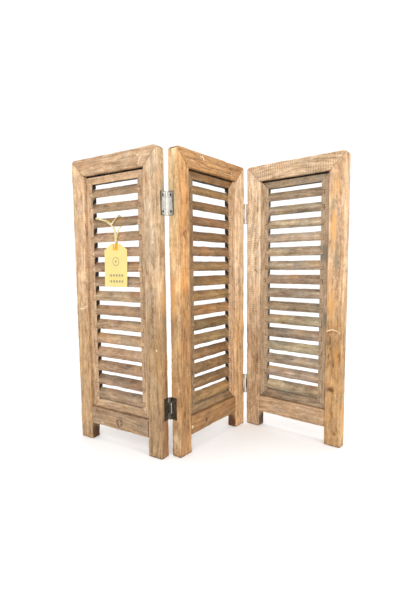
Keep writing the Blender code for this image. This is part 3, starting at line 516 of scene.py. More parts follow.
def board(panel, name, low, high, ends, radius, seed, front=11, side=4, foot=0.0, groove=None):
    """A sawn and sanded board as a tube of rounded rectangles along its grain. ends gives the
    two end heights and the darkness of the seam at each place across; radius is the arris
    radius, wandering along it; foot is the radius round its lower end; groove is an arris and
    the depth of the shadow gap it forms."""
    across, along = (0, 2) if grain_is_up(name) else (2, 0)
    section = Section(front, side)
    length = high[along] - low[along]
    middle = np.linspace(FIRST_STATION, length - FIRST_STATION, max(6, int(length / BOARD_STEP)))
    away = np.concatenate([END_STATIONS, middle, length - END_STATIONS[::-1]])
    pull = np.maximum(end_pull(away, foot), end_pull(length - away, 0.0))
    half = np.array([(high[across] - low[across]) / 2, (high[1] - low[1]) / 2])
    station = np.zeros((len(away), 4, 3))
    station[..., 0] = (low[along] + away)[:, None]
    station[..., 1] = np.arange(4) * ARRIS_APART
    reach = radius * (1 + 0.45 * wander(seed, station, 130 * MM))
    if groove:
        reach[:, groove[0]] = groove[1]
    reach = np.clip(reach, 0.5 * MM, half.min() * 0.8)
    ring = section.points(half - pull[:, None], reach)
    shrink = np.array([0.45, 0.9])[:, None, None]
    ring = np.concatenate([ring[:1] * shrink, ring, ring[-1:] * shrink[::-1]])
    share = np.concatenate([[0, 0], away / length, [1, 1]])
    place = ring + (low + high)[[across, 1]] / 2
    start, stop, seam = ends(place[..., 0])
    run = start + share[:, None] * (stop - start)
    local = np.empty(place.shape[:2] + (3,))
    local[..., across] = place[..., 0]
    local[..., 1] = place[..., 1]
    local[..., along] = run
    push = nick_depth(name, local) + 0.14 * MM * wander(seed + 5, local, 45 * MM)
    push += 0.25 * MM * wander(seed + 6, local, 14 * MM) * section.arris
    inside = np.ones(len(share))
    inside[[0, 1, -1, -2]] = 0
    push *= (inside * np.clip(away_share(share, length), 0, 1))[:, None]
    local[..., across] -= push * section.way[:, 0]
    local[..., 1] -= push * section.way[:, 1]
    grain = np.stack([local[..., along], local[..., across], local[..., 1]], axis=-1)
    grain[..., 1] += wander(seed + 12, local, 420 * MM, 2) * 7 * MM
    grain += np.random.default_rng(seed + 11).uniform(0, 7, 3)
    end_grain = np.repeat((1 - inside)[:, None], local.shape[1], axis=1)
    near = stop - run if foot else np.minimum(np.abs(run - start), np.abs(stop - run))
    # the crevice channel: dark joints at the seams; below, painted shade in the shadow gap joins it
    crevice = seam * np.exp(-(near / SEAM_WIDTH)**2) * inside[:, None]
    if groove:
        crevice = np.maximum(crevice, groove_shade(section, groove[0]) * inside[:, None])
    # the middles of the rounded arrises: rubbed wear, and a painted highlight where light would catch them
    arris = section.arris * (0.75 + 0.5 * wander(seed + 13, local, 70 * MM))
    data = board_data(name, local, grain, np.clip(arris, 0, 1.3), (end_grain, crevice), seed)
    if name in SIDE_TONES:
        way, ratio_low, ratio_high = SIDE_TONES[name]
        turned = np.clip(way * section.way[:, 0], 0, 1)[None, :, None]**3
        rise = np.clip(local[..., 2:] / PANEL_HEIGHT, 0, 1)
        ratio = (1 - rise) * np.array(ratio_low) + rise * np.array(ratio_high)
        data["tone"][..., :3] *= 1 + turned * (ratio - 1)
    return tube(panel.world(local)), flat_data(data)


def away_share(share, length):
    """Distance from the nearer end in units of four millimetres."""
    return np.minimum(share, 1 - share) * length / (4 * MM)


def groove_shade(section, corner):
    """Painted shade in a shadow gap round the section: full on the arris of the gap at the top, with the
    side under it, and slight on that of the gap at the bottom."""
    on = ((section.start == corner) & (section.share == 0)).astype(float)
    if corner == 0:
        return 0.25 * on
    return np.maximum(on, 0.95 * np.clip(-1.6 * section.way[:, 0] - 0.3, 0, 1))


# ---- shader helpers -----------------------------------------------------------------------


class Graph:
    """Short words for adding and joining shader nodes."""

    def __init__(self, tree):
        self.tree = tree

    def node(self, kind, settings=None, sockets=None):
        made = self.tree.nodes.new(kind)
        for key, value in (settings or {}).items():
            setattr(made, key, value)
        for key, value in (sockets or {}).items():
            self.put(made.inputs[key], value)
        return made

    def put(self, socket, value):
        if isinstance(value, bpy.types.NodeSocket):
            self.tree.links.new(value, socket)
        else:
            socket.default_value = value

    def math(self, operation, a, b=0.0, c=0.0, clamp=False):
        return self.node("ShaderNodeMath", {"operation": operation, "use_clamp": clamp},
                         {0: a, 1: b, 2: c}).outputs[0]

    def scale(self, a, b):
        return self.node("ShaderNodeVectorMath", {"operation": "MULTIPLY"}, {0: a, 1: b}).outputs[0]

    def object_place(self):
        return self.node("ShaderNodeTexCoord").outputs["Object"]

    def split(self, vector):
        return self.node("ShaderNodeSeparateXYZ", None, {0: vector}).outputs

    def join(self, x, y, z):
        return self.node("ShaderNodeCombineXYZ", None, {0: x, 1: y, 2: z}).outputs[0]

    def mix(self, share, a, b, blend="MIX"):
        made = self.node("ShaderNodeMix", {"data_type": "RGBA", "blend_type": blend})
        for place, value in ((0, share), (6, a), (7, b)):
            self.put(made.inputs[place], value)
        return made.outputs[2]

    def tint(self, colour, share):
        return self.mix(1.0, colour, (*share, 1), "MULTIPLY")

    def noise(self, vector, scale, detail=3.0, rough=0.55, bend=0.0):
        return self.node("ShaderNodeTexNoise", None,
                         {"Vector": vector, "Scale": scale, "Detail": detail, "Roughness": rough,
                          "Distortion": bend}).outputs[0]

    def range(self, value, low, high, to_low=0.0, to_high=1.0):
        made = self.node("ShaderNodeMapRange", {"interpolation_type": "SMOOTHSTEP"},
                         {"Value": value, "From Min": low, "From Max": high, "To Min": to_low,
                          "To Max": to_high})
        return made.outputs[0]

    def attribute(self, title, output):
        return self.node("ShaderNodeAttribute", {"attribute_name": title}).outputs[output]


def group(name, inputs, outputs):
    """An empty node group with named sockets, its graph, its inputs and its output node."""
    tree = bpy.data.node_groups.new(name, "ShaderNodeTree")
    for title, kind, value in inputs:
        socket = tree.interface.new_socket(title, in_out="INPUT", socket_type=kind)
        socket.default_value = value
    for title, kind in outputs:
        tree.interface.new_socket(title, in_out="OUTPUT", socket_type=kind)
    graph = Graph(tree)
    return graph, graph.node("NodeGroupInput").outputs, graph.node("NodeGroupOutput").inputs


GRAIN_DEPTH = 0.7 * MM
FLOAT, COLOUR, VECTOR = "NodeSocketFloat", "NodeSocketColor", "NodeSocketVector"


def wood_group():
    """Weathered wood: long streaks, growth rings, fibres, saw ripples, stains, knots and wear, with painted
    highlights on the arrises and painted shade in the shadow gaps, under the slats and in some marks.
    """
    if "weathered_wood" in bpy.data.node_groups:
        return bpy.data.node_groups["weathered_wood"]
    g, given, out = group(
        "weathered_wood",
        [("Grain", VECTOR, (0, 0, 0)), ("Tone", COLOUR, (0.6, 0.4, 0.25, 1)),
         ("Marks", VECTOR, (0, 0, 0)), ("Stain", VECTOR, (0, 0, 0)), ("Wear", VECTOR, (0, 0, 0)),
         ("Streaks", FLOAT, 1.0), ("Saw Marks", FLOAT, 0.5)],
        [("Color", COLOUR), ("Roughness", FLOAT), ("Height", FLOAT)])
    grain, tone = given["Grain"], given["Tone"]
    dark, pale, knot = g.split(given["Marks"])
    grey, warm, red = g.split(given["Stain"])
    rub_and_highlight, end, crevice = g.split(given["Wear"])
    along, across, _ = g.split(grain)
    coarse = g.noise(g.scale(grain, (9, 115, 115)), 1.0, 4.0, 0.64, 0.3)
    fibre = g.noise(g.scale(grain, (34, 430, 430)), 1.0, 3.0, 0.62)
    pores = g.noise(g.scale(grain, (90, 1700, 1700)), 1.0, 2.0, 0.5)
    cloud = g.noise(g.scale(grain, (10, 30, 30)), 1.0, 3.0, 0.55)
    blotch = g.noise(g.scale(grain, (42, 95, 95)), 1.0, 3.0, 0.6, 0.4)
    fleck = g.noise(g.scale(grain, (170, 520, 520)), 1.0, 2.0, 0.6)
    warp = g.noise(g.scale(grain, (3.2, 26, 26)), 1.0, 2.0, 0.5)
    # growth rings: sine of distance across the board, bent by slow noise and crowded at knots
    turn = g.math("MULTIPLY_ADD", across, TAU / 0.010, g.math("MULTIPLY", warp, 34.0))
    turn = g.math("MULTIPLY_ADD", knot, 17.0, turn)
    rings = g.math("MULTIPLY_ADD", g.math("SINE", turn), 0.5, 0.5)
    rings = g.math("POWER", rings, 1.8)
    ring_depth = g.math("MULTIPLY", rings, g.range(cloud, 0.3, 0.7, 0.25, 1.0))
    # saw ripples: sine along the board every 5.8 mm, in patches
    ripple = g.math("SINE", g.math("MULTIPLY_ADD", along, TAU / 0.0058,
                                   g.math("MULTIPLY", warp, 22.0)))
    patch = g.noise(g.scale(grain, (13, 34, 34)), 1.0, 1.0, 0.5)
    ripple = g.math("MULTIPLY", g.math("MULTIPLY", ripple, g.range(patch, 0.36, 0.56)),
                    given["Saw Marks"])
    level = g.math("MULTIPLY_ADD", g.math("SUBTRACT", 0.35, ring_depth), 0.30,
                   g.math("MULTIPLY", ripple, 0.26))
    for texture, share in ((coarse, 1.05), (fibre, 0.75), (pores, 0.4), (cloud, 1.0),
                           (blotch, 1.3), (fleck, 0.9)):
        level = g.math("MULTIPLY_ADD", g.math("SUBTRACT", texture, 0.5), share, level)
    level = g.math("MULTIPLY_ADD", level, given["Streaks"], 0.5, clamp=True)
    shade = g.tint(tone, (0.40, 0.31, 0.23))
    light = g.tint(tone, (1.42, 1.44, 1.46))
    colour = g.mix(level, shade, light)
    check = g.noise(g.scale(grain, (14, 640, 640)), 1.0, 2.0, 0.5)
    check = g.math("MULTIPLY", g.range(check, 0.64, 0.72), g.range(cloud, 0.42, 0.62))
    colour = g.mix(g.math("MULTIPLY", check, 0.8), colour,
                   g.tint(colour, (0.34, 0.26, 0.20)))
    jitter = g.math("MULTIPLY", g.math("SUBTRACT", coarse, 0.5), 0.9)

    def cover(mask, low, high, onto, paint, blend="MIX", loose=jitter):
        share = g.range(g.math("ADD", mask, g.math("MULTIPLY", loose, g.range(mask, 0.0, 0.3))),
                        low, high)
        return g.mix(share, onto, paint, blend)

    colour = cover(grey, 0.15, 1.0, colour, g.tint(tone, (0.50, 0.60, 0.66)))
    colour = cover(warm, 0.15, 1.0, colour, g.tint(tone, (1.22, 0.98, 0.62)))
    colour = cover(red, 0.15, 1.0, colour, g.tint(tone, (0.80, 0.55, 0.46)))
    knot_shade = g.mix(g.range(rings, 0.2, 0.8), (0.80, 0.66, 0.52, 1), (0.42, 0.27, 0.16, 1))
    colour = g.mix(g.range(knot, 0.25, 0.85), colour, g.mix(1.0, colour, knot_shade, "MULTIPLY"))
    colour = cover(pale, 0.2, 0.75, colour, (0.80, 0.62, 0.40, 1))
    colour = cover(dark, 0.2, 0.95, colour, (0.20, 0.13, 0.09, 1), "MULTIPLY")
    # rubbed wear with a painted highlight on the arrises: a lighter tone
    rubbed = g.math("MULTIPLY", rub_and_highlight, g.range(g.math("ADD", coarse, g.math(
        "MULTIPLY", fibre, 0.5)), 0.55, 0.95), clamp=True)
    colour = g.mix(g.math("MULTIPLY", rubbed, 0.5, clamp=True), colour,
                   g.tint(tone, (1.26, 1.28, 1.28)))
    colour = g.mix(g.math("MULTIPLY", end, 0.8, clamp=True), colour,
                   g.tint(colour, (0.52, 0.46, 0.40)))
    # near black on the crevice channel: dark joints at the seams, painted shade in the shadow gaps and
    # under the slats
    colour = g.mix(g.math("MULTIPLY", crevice, 1.0, clamp=True), colour, (0.012, 0.008, 0.005, 1))
    g.put(out["Color"], colour)
    g.put(out["Roughness"], g.range(g.math("ADD", fibre, g.math("MULTIPLY", rubbed, -0.25)),
                                    0.2, 0.8, 0.52, 0.82))
    height = g.math("MULTIPLY_ADD", coarse, 0.45, g.math("MULTIPLY", fibre, 0.55))
    height = g.math("MULTIPLY_ADD", pores, 0.3, height)
    height = g.math("MULTIPLY_ADD", ripple, 0.16, height)
    height = g.math("MULTIPLY_ADD", ring_depth, -0.22, height)
    height = g.math("MULTIPLY_ADD", dark, -0.8, height)
    g.put(out["Height"], g.math("MULTIPLY_ADD", knot, 0.35, height))
    return g.tree


def shaded(tone, share=1.0):
    """A colour times a share, kept within 1, as a socket takes it."""
    return (*(min(1.0, share * c) for c in tone), 1.0)


def new_material(name):
    """A material with an empty graph but for its Principled shader."""
    made = bpy.data.materials.new(name)
    made.use_nodes = True
    return made, Graph(made.node_tree), made.node_tree.nodes["Principled BSDF"]


def bump(g, shader, height, depth):
    """Feeds a height in shares of depth to the shader's normal."""
    made = g.node("ShaderNodeBump", None, {"Strength": 1.0, "Distance": depth, "Height": height})
    g.put(shader.inputs["Normal"], made.outputs[0])


def finish_wood(g, shader, wood):
    """Joins the wood group's outputs to the shader."""
    g.put(shader.inputs["Base Color"], wood.outputs["Color"])
    g.put(shader.inputs["Roughness"], wood.outputs["Roughness"])
    bump(g, shader, wood.outputs["Height"], GRAIN_DEPTH)
    shader.inputs["Specular IOR Level"].default_value = 0.35


def wood_look(name, streaks, saw):
    """Wood that reads its grain, tone, marks, stains and wear, with their painted shade and highlights,
    from the piece's attributes.
    """
    made, g, shader = new_material(name)
    wood = g.node("ShaderNodeGroup", {"node_tree": wood_group()})
    g.put(wood.inputs["Grain"], g.attribute("grain", "Vector"))
    g.put(wood.inputs["Tone"], g.attribute("tone", "Color"))
    for title in ("Marks", "Stain", "Wear"):
        g.put(wood.inputs[title], g.attribute(title.lower(), "Vector"))
    g.put(wood.inputs["Streaks"], streaks)
    g.put(wood.inputs["Saw Marks"], g.math("MULTIPLY", g.attribute("tone", "Alpha"), saw))
    finish_wood(g, shader, wood)
    return made


def notched_look(name, panel, tone, streaks, saw, shadow_share):
    """Wood for a carried-over notched stile: its grain runs up in Object coordinates turned with the panel,
    and behind its face it has painted shade: darker than its face, with a painted shadow under each slat."""
    made, g, shader = new_material(name)
    coordinates = g.object_place()
    turned = g.node("ShaderNodeMapping", {"vector_type": "POINT"},
                    {"Vector": coordinates, "Rotation": (0.0, 0.0, -panel.turn)}).outputs[0]
    x, y, z = g.split(turned)
    back = g.math("SUBTRACT", y, float(panel.origin[1]))
    wood = g.node("ShaderNodeGroup", {"node_tree": wood_group()})
    g.put(wood.inputs["Grain"], g.join(z, x, y))
    depth = g.range(back, 0.0068, 0.0092)
    # painted shade on the sides between the slats: brown near them, a nearly black painted shadow halfway
    rise = g.math("MULTIPLY_ADD", g.math("SUBTRACT", back, float(LOUVRE_FRONT)), -SLAT_SLOPE, z)
    phase = g.math("FRACT", g.math("DIVIDE", g.math("SUBTRACT", rise, float(SLATS_LOW)),
                                   float(SLAT_PITCH)))
    ragged = g.noise(g.scale(turned, (90, 90, 60)), 1.0, 2.0, 0.5)
    phase = g.math("MULTIPLY_ADD", g.math("SUBTRACT", ragged, 0.5), 0.3, phase)
    slat_shadow = g.math("MULTIPLY", g.range(phase, 0.40, 0.52), g.range(phase, 0.88, 0.76))
    side = g.mix(slat_shadow, shaded(tone, 0.72),
                 shaded(tone, shadow_share))
    g.put(wood.inputs["Tone"], g.mix(depth, shaded(tone), side))
    blotch = g.noise(g.scale(turned, (60, 60, 12)), 1.0, 2.0, 0.5)
    g.put(wood.inputs["Stain"], g.join(g.range(blotch, 0.56, 0.8), 0.0,
                                       g.range(blotch, 0.36, 0.14)))
    spots = g.noise(g.scale(turned, (300, 300, 90)), 1.0, 1.0, 0.5)
    g.put(wood.inputs["Marks"], g.join(g.range(spots, 0.68, 0.8), 0.0, 0.0))
    g.put(wood.inputs["Streaks"], streaks)
    g.put(wood.inputs["Saw Marks"], saw)
    finish_wood(g, shader, wood)
    return made


def metal_group():
    """Old plated steel: brushed scratches, cloudy tarnish, small dark pits, cloudy grime, and painted shade
    on the hinge plates that is darkest at their edges.
    """
    if "plated_steel" in bpy.data.node_groups:
        return bpy.data.node_groups["plated_steel"]
    g, given, out = group(
        "plated_steel", [("Bright", COLOUR, (0.7, 0.68, 0.62, 1)),
                         ("Tarnish", COLOUR, (0.3, 0.26, 0.2, 1)), ("Amount", FLOAT, 0.5),
                         ("Grime_And_Shade", FLOAT, 0.0)],
        [("Color", COLOUR), ("Roughness", FLOAT), ("Metallic", FLOAT), ("Height", FLOAT)])
    place = g.object_place()
    cloud = g.noise(place, 120.0, 4.0, 0.6)
    pits = g.noise(place, 700.0, 2.0, 0.5)
    brush = g.noise(g.scale(place, (900, 900, 60)), 1.0, 2.0, 0.5)
    share = g.range(g.math("MULTIPLY_ADD", pits, 0.25, cloud),
                    g.math("SUBTRACT", 1.0, given["Amount"]),
                    g.math("SUBTRACT", 1.35, given["Amount"]))
    colour = g.mix(share, given["Bright"], given["Tarnish"])
    colour = g.mix(g.range(pits, 0.68, 0.80), colour, g.tint(colour, (0.5, 0.44, 0.38)))
    # grime in cloudy patches, plus painted shade on the plates from their attribute
    grime = g.range(g.math("MULTIPLY_ADD", g.math("SUBTRACT", cloud, 0.5), 0.8, given["Grime_And_Shade"]),
                    0.1, 0.95)
    g.put(out["Color"], g.mix(grime, colour, (0.045, 0.038, 0.030, 1)))
    g.put(out["Roughness"], g.math("MULTIPLY_ADD", share, 0.28,
                                   g.math("MULTIPLY_ADD", brush, 0.2, 0.2)))
    g.put(out["Metallic"], g.math("MULTIPLY_ADD", share, -0.25, 1.0))
    g.put(out["Height"], g.math("MULTIPLY_ADD", pits, -0.6, brush))
    return g.tree


def metal_look(name, bright, tarnish, amount):
    """A plated steel finish."""
    made, g, shader = new_material(name)
    metal = g.node("ShaderNodeGroup", {"node_tree": metal_group()})
    g.put(metal.inputs["Bright"], shaded(bright))
    g.put(metal.inputs["Tarnish"], shaded(tarnish))
    g.put(metal.inputs["Amount"], amount)
    g.put(metal.inputs["Grime_And_Shade"], g.split(g.attribute("grime", "Vector"))[0])
    for title, socket in (("Color", "Base Color"), ("Roughness", "Roughness"),
                          ("Metallic", "Metallic")):
        g.put(shader.inputs[socket], metal.outputs[title])
    bump(g, shader, metal.outputs["Height"], 0.00012)
    return made


# ---- settings -----------------------------------------------------------------------------


def length_prop(name, text, value):
    return FloatProperty(name=name, description=text, default=value, unit="LENGTH", precision=5)


def tone_prop(name, text, value):
    return FloatVectorProperty(name=name, description=text, default=value, size=3,
                               subtype="COLOR", min=0.0, max=1.0)


class ViewSettings(bpy.types.PropertyGroup):
    """Where the camera stands and the room round the screen."""

    eye: FloatVectorProperty(name="Eye", description="Camera position", size=3, unit="LENGTH",
                             default=(-0.11113, -0.93801, 0.42250))
    heading: FloatProperty(name="Heading", description="Turn from straight ahead to the right",
                           default=math.radians(6.49), subtype="ANGLE")
    pitch: FloatProperty(name="Pitch", description="Tilt up from level",
                         default=math.radians(-5.625), subtype="ANGLE")
    roll: FloatProperty(name="Roll", description="Lean of the camera",
                        default=math.radians(-0.47), subtype="ANGLE")
    lens: FloatProperty(name="Lens", description="Focal length in millimetres for a 36 mm tall "
                        "frame", default=23.45)
    floor_tone: tone_prop("Floor", "Colour of the floor", (0.93, 0.93, 0.93))
    sky: FloatProperty(name="Sky", description="Strength of the even white surround", default=1.1)
    key: FloatProperty(name="Key light", description="Power of the large soft light",
                       default=16.0, unit="POWER")


# The timbers' hues, as (red, green, blue) in linear light at full lightness.
TIMBERS = {
    "russet": (1.00, 0.55, 0.23),
    "toffee": (1.00, 0.60, 0.27),
    "amber": (1.00, 0.64, 0.33),
    "honey": (1.00, 0.67, 0.40),
    "straw": (1.00, 0.72, 0.46),
    "silver": (1.00, 0.77, 0.53),
}
# Each board's timber and how light it is: low down and, where it differs, high up; a stile's rise from
# darker low down to lighter high up is partly its own colour and partly painted light from above.
BOARD_TIMBERS = {
    "left_stile_left": [("amber", 0.46), ("honey", 0.64)],
    "left_stile_right": [("amber", 0.35), ("straw", 0.56)],
    "left_top_rail": [("honey", 0.52)],
    "left_bottom_rail": [("honey", 0.37)],
    "left_louvre_rail_top": [("honey", 0.60)],
    "left_louvre_rail_bottom": [("honey", 0.41)],
    "left_louvre_stile_left": [("honey", 0.54)],
    "left_louvre_stile_right": [("honey", 0.48)],
    "left_slats": [("honey", 0.35)],
    "middle_stile_left": [("russet", 0.39), ("russet", 0.60)],
    "middle_stile_right": [("amber", 0.65), ("straw", 0.75)],
    "middle_top_rail": [("russet", 0.46)],
    "middle_bottom_rail": [("russet", 0.33)],
    "middle_louvre_rail_top": [("russet", 0.26)],
    "middle_louvre_rail_bottom": [("amber", 0.27)],
    "middle_louvre_stile_left": [("amber", 0.29)],
    "middle_louvre_stile_right": [("honey", 0.58)],
    "middle_slats": [("toffee", 0.25)],
    "right_stile_left": [("honey", 0.53), ("silver", 0.78)],
    "right_stile_right": [("toffee", 0.50), ("honey", 0.64)],
    "right_top_rail": [("straw", 0.60)],
    "right_bottom_rail": [("honey", 0.54)],
    "right_louvre_rail_top": [("silver", 0.38)],
    "right_louvre_rail_bottom": [("straw", 0.29)],
    "right_louvre_stile_left": [("straw", 0.47)],
    "right_louvre_stile_right": [("straw", 0.40)],
    "right_slats": [("silver", 0.37)],
}
TONES = {name: [light * np.array(TIMBERS[timber]) for timber, light in steps]
         for name, steps in BOARD_TIMBERS.items()}


class WoodSettings(bpy.types.PropertyGroup):
    """How worn and how figured the wood is."""

    arris: length_prop("Arris", "Radius of the outer frame's worn edges", 2.4 * MM)
    louvre_arris: length_prop("Louvre arris", "Radius of the louvre frame's edges", 1.0 * MM)
    slat_arris: length_prop("Slat arris", "Radius of the slats' edges", 1.2 * MM)
    foot_rounding: length_prop("Foot rounding", "Radius round the bottom of the feet", 1.8 * MM)
    groove: length_prop("Shadow groove", "Depth of the groove above the louvre frame", 4.6 * MM)
    slat_drop: length_prop("Slat drop", "How much deeper slats hang between the stiles", 1.2 * MM)
    low_drop: length_prop("Lowest drop", "How much deeper the lowest slat hangs", 2.5 * MM)
    slat_play: length_prop("Slat play", "How far slats stray from even", 0.22 * MM)
    streaks: FloatProperty(name="Streaks", description="Strength of the grain", default=0.85,
                           min=0.0, max=2.0)
    saw_marks: FloatProperty(name="Saw marks", description="Strength of the saw ripples",
                             default=0.8, min=0.0, max=2.0)


class HingeSettings(bpy.types.PropertyGroup):
    """Sizes and finishes of the butt hinges."""

    leaf_thickness: length_prop("Leaf thickness", "Thickness of the plates", 1.2 * MM)
    barrel: length_prop("Barrel radius", "Outer radius of the knuckles", 2.8 * MM)
    bore: length_prop("Bore", "Inner radius of the knuckles", 1.45 * MM)
    screw_head: length_prop("Screw head", "Radius of the screw heads", 2.8 * MM)
    nickel: tone_prop("Nickel", "Plating of the bright hinges", (0.80, 0.78, 0.73))
    nickel_tarnish: tone_prop("Nickel tarnish", "Dull patches on the plating", (0.42, 0.38, 0.32))
    bronze: tone_prop("Bronze", "Finish of the dark hinge", (0.27, 0.22, 0.16))
    bronze_tarnish: tone_prop("Bronze tarnish", "Dark patches on it", (0.08, 0.065, 0.05))
    sides: IntProperty(name="Sides", description="Faces round a knuckle", default=32, min=12)


class TagSettings(bpy.types.PropertyGroup):
    """The hang tag and its raffia."""

    card: tone_prop("Card", "Colour of the tag", (0.83, 0.66, 0.25))
    ink: tone_prop("Ink", "Colour of the printed shapes", (0.30, 0.26, 0.14))
    patch: tone_prop("Patch", "Colour of the paper patch", (0.95, 0.41, 0.008))
    raffia: tone_prop("Raffia", "Colour of the string", (0.82, 0.69, 0.33))
    string_diameter: length_prop("String", "Diameter of the string", 2.0 * MM)
    curl: length_prop("Curl", "How far the tag's lower edge stands off", 1.6 * MM)


class DividerSettings(bpy.types.PropertyGroup):
    """All settings of the divider."""

    view: PointerProperty(type=ViewSettings)
    wood: PointerProperty(type=WoodSettings)
    hinge: PointerProperty(type=HingeSettings)
    tag: PointerProperty(type=TagSettings)


# ---- camera and stage ---------------------------------------------------------------------


class DIVIDER_OT_camera(bpy.types.Operator):
    """Stand the camera in front of the screen, a little above its middle"""

    bl_idname = "divider.camera"
    bl_label = "Camera"

    def execute(self, context):
        view = context.scene.divider.view
        cos_p, sin_p = math.cos(view.pitch), math.sin(view.pitch)
        ahead = Vector((math.sin(view.heading) * cos_p, math.cos(view.heading) * cos_p, sin_p))
        level = Vector((math.cos(view.heading), -math.sin(view.heading), 0.0))
        above = level.cross(ahead)
        right = math.cos(view.roll) * level + math.sin(view.roll) * above
        up = right.cross(ahead)
        turn = Matrix((right, up, -ahead)).transposed()
        lens = bpy.data.cameras.new("camera")
        lens.sensor_fit = "VERTICAL"
        lens.sensor_height = 36.0
        lens.lens = view.lens
        camera = bpy.data.objects.new("camera", lens)
        camera.matrix_world = Matrix.Translation(view.eye) @ turn.to_4x4()
        context.scene.collection.objects.link(camera)
        context.scene.camera = camera
        return {"FINISHED"}


def area_light(name, place, target, size, power):
    """A square soft light that faces a point."""
    lamp = bpy.data.lights.new(name, "AREA")
    lamp.shape = "SQUARE"
    lamp.size = size
    lamp.energy = power
    made = bpy.data.objects.new(name, lamp)
    made.location = place
    aim = Vector(target) - Vector(place)
    made.rotation_euler = aim.to_track_quat("-Z", "Y").to_euler()
    bpy.context.scene.collection.objects.link(made)


class DIVIDER_OT_stage(bpy.types.Operator):
    """Lay a pale floor and light the screen softly"""

    bl_idname = "divider.stage"
    bl_label = "Stage"

    def execute(self, context):
        view = context.scene.divider.view
        mesh = bpy.data.meshes.new("floor")
        mesh.from_pydata([(-6, -6, 0), (6, -6, 0), (6, 6, 0), (-6, 6, 0)], [], [(0, 1, 2, 3)])
        look, g, shader = new_material("pale_floor")
        place = g.object_place()
        tone = tuple(view.floor_tone)
        cloud = g.range(g.noise(place, 3.0, 2.0), 0.3, 0.7)
        g.put(shader.inputs["Base Color"], g.mix(cloud, shaded(tone),
                                                 shaded(tone, 0.99)))
        shader.inputs["Roughness"].default_value = 0.9
        shader.inputs["Specular IOR Level"].default_value = 0.1
        mesh.materials.append(look)
        floor = bpy.data.objects.new("floor", mesh)
        context.scene.collection.objects.link(floor)
        world = bpy.data.worlds.new("surround")
        world.use_nodes = True
        world.node_tree.nodes["Background"].inputs["Color"].default_value = (1, 1, 1, 1)
        world.node_tree.nodes["Background"].inputs["Strength"].default_value = view.sky
        context.scene.world = world
        middle = (0.0, 0.0, 0.4)
        area_light("key", (-0.9, -1.9, 2.0), middle, 1.4, view.key)
        area_light("fill", (1.5, -1.6, 1.5), middle, 1.4, 0.8 * view.key)
        area_light("top", (0.0, 0.3, 2.3), middle, 1.6, 0.6 * view.key)
        context.scene.view_settings.view_transform = "Standard"
        return {"FINISHED"}


# ---- string and tag -----------------------------------------------------------------------

TAG_CUT = (22 * MM, 14 * MM)
TAG_HOLE_DROP = 7.5 * MM
TAG_HOLE_RADIUS = 2.6 * MM
RING_DOWN = 40 * MM
BEAD_ROWS = (71.5 * MM, 85 * MM)
BEAD_PITCH = 8.6 * MM
RULE_DOWN = 78 * MM
DRY_TONE = (0.90, 0.83, 0.60, 1)

# The string's route in the left panel, in millimetres: from its free end through the knot down
# to the tag, through the eyelet, up under the slat, round its back and over it to the knot.
STRING_ROUTE = [
    (71.5, 5.0, 535.0), (79.0, 4.0, 532.6), (87.4, 3.4, 530.2), (95.0, 3.0, 528.2),
    (103.0, 2.8, 525.6), (111.0, 2.6, 521.8), (117.5, 3.0, 517.4), (122.5, 3.8, 513.0),
    (126.4, 4.6, 508.2), (129.2, 4.8, 502.0), (130.4, 4.4, 494.0), (130.8, 4.0, 485.5),
    (130.4, 3.6, 477.5), (129.0, 3.6, 471.0), (127.4, 4.4, 467.2), (127.0, 6.6, 466.3),
    (127.2, 9.2, 467.6), (128.4, 10.2, 471.6), (130.0, 9.0, 475.4), (131.4, 6.4, 478.0),
    (132.6, 4.8, 482.0), (134.6, 4.2, 490.0), (137.6, 4.4, 498.6), (141.2, 5.0, 505.0),
    (143.8, 6.4, 509.8), (144.8, 9.2, 512.8), (144.8, 14.0, 517.3), (144.4, 18.6, 521.8),
    (142.6, 20.8, 525.6), (137.4, 20.8, 530.6), (132.0, 20.6, 535.0), (128.8, 18.6, 537.2),
    (127.6, 13.6, 532.8), (126.4, 8.6, 528.2), (124.6, 5.2, 523.4), (121.8, 4.4, 519.6),
    (118.4, 3.6, 517.2),
]


def smooth_route(route, parts):
    """Catmull-Rom points: each span is the cubic whose slopes at its ends are half the step
    between the neighbours."""
    points = np.array(route) * MM
    padded = np.concatenate([[2 * points[0] - points[1]], points, [2 * points[-1] - points[-2]]])
    a, b, c, d = padded[:-3], padded[1:-2], padded[2:-1], padded[3:]
    t = (np.arange(parts) / parts)[None, :, None]
    a, b, c, d = (p[:, None] for p in (a, b, c, d))
    curve = (2 * b + (c - a) * t + (2 * a - 5 * b + 4 * c - d) * t**2
             + (3 * b - a - 3 * c + d) * t**3) / 2
    return np.concatenate([curve.reshape(-1, 3), points[-1:]])


def knot_route():
    """A tight coil wound round a short sloping axis on the string, fuller in its middle."""
    share = np.linspace(0, 1, 150)[:, None]
    axis = np.array([100.5, 2.7, 526.8]) + share * np.array([19.5, 0.5, -10.4])
    turn = 5.4 * TAU * share
    full = 1.7 + 1.0 * np.sin(np.pi * share)
    return (axis + full * (np.cos(turn) * np.array([0.35, 0.0, 0.65])
                           + np.sin(turn) * np.array([0.0, 0.95, 0.0]))) * MM


def carried_frames(line):
    """Two directions square to a line at each point: the first is carried along without twist."""
    step = np.gradient(line, axis=0)
    step /= np.linalg.norm(step, axis=1)[:, None]
    side = np.cross(step[0], (0.3, 0.2, 0.9))
    sides = []
    for way in step:
        side = side - way * (side @ way)
        side = side / np.linalg.norm(side)
        sides.append(side)
    sides = np.array(sides)
    return sides, np.cross(step, sides)


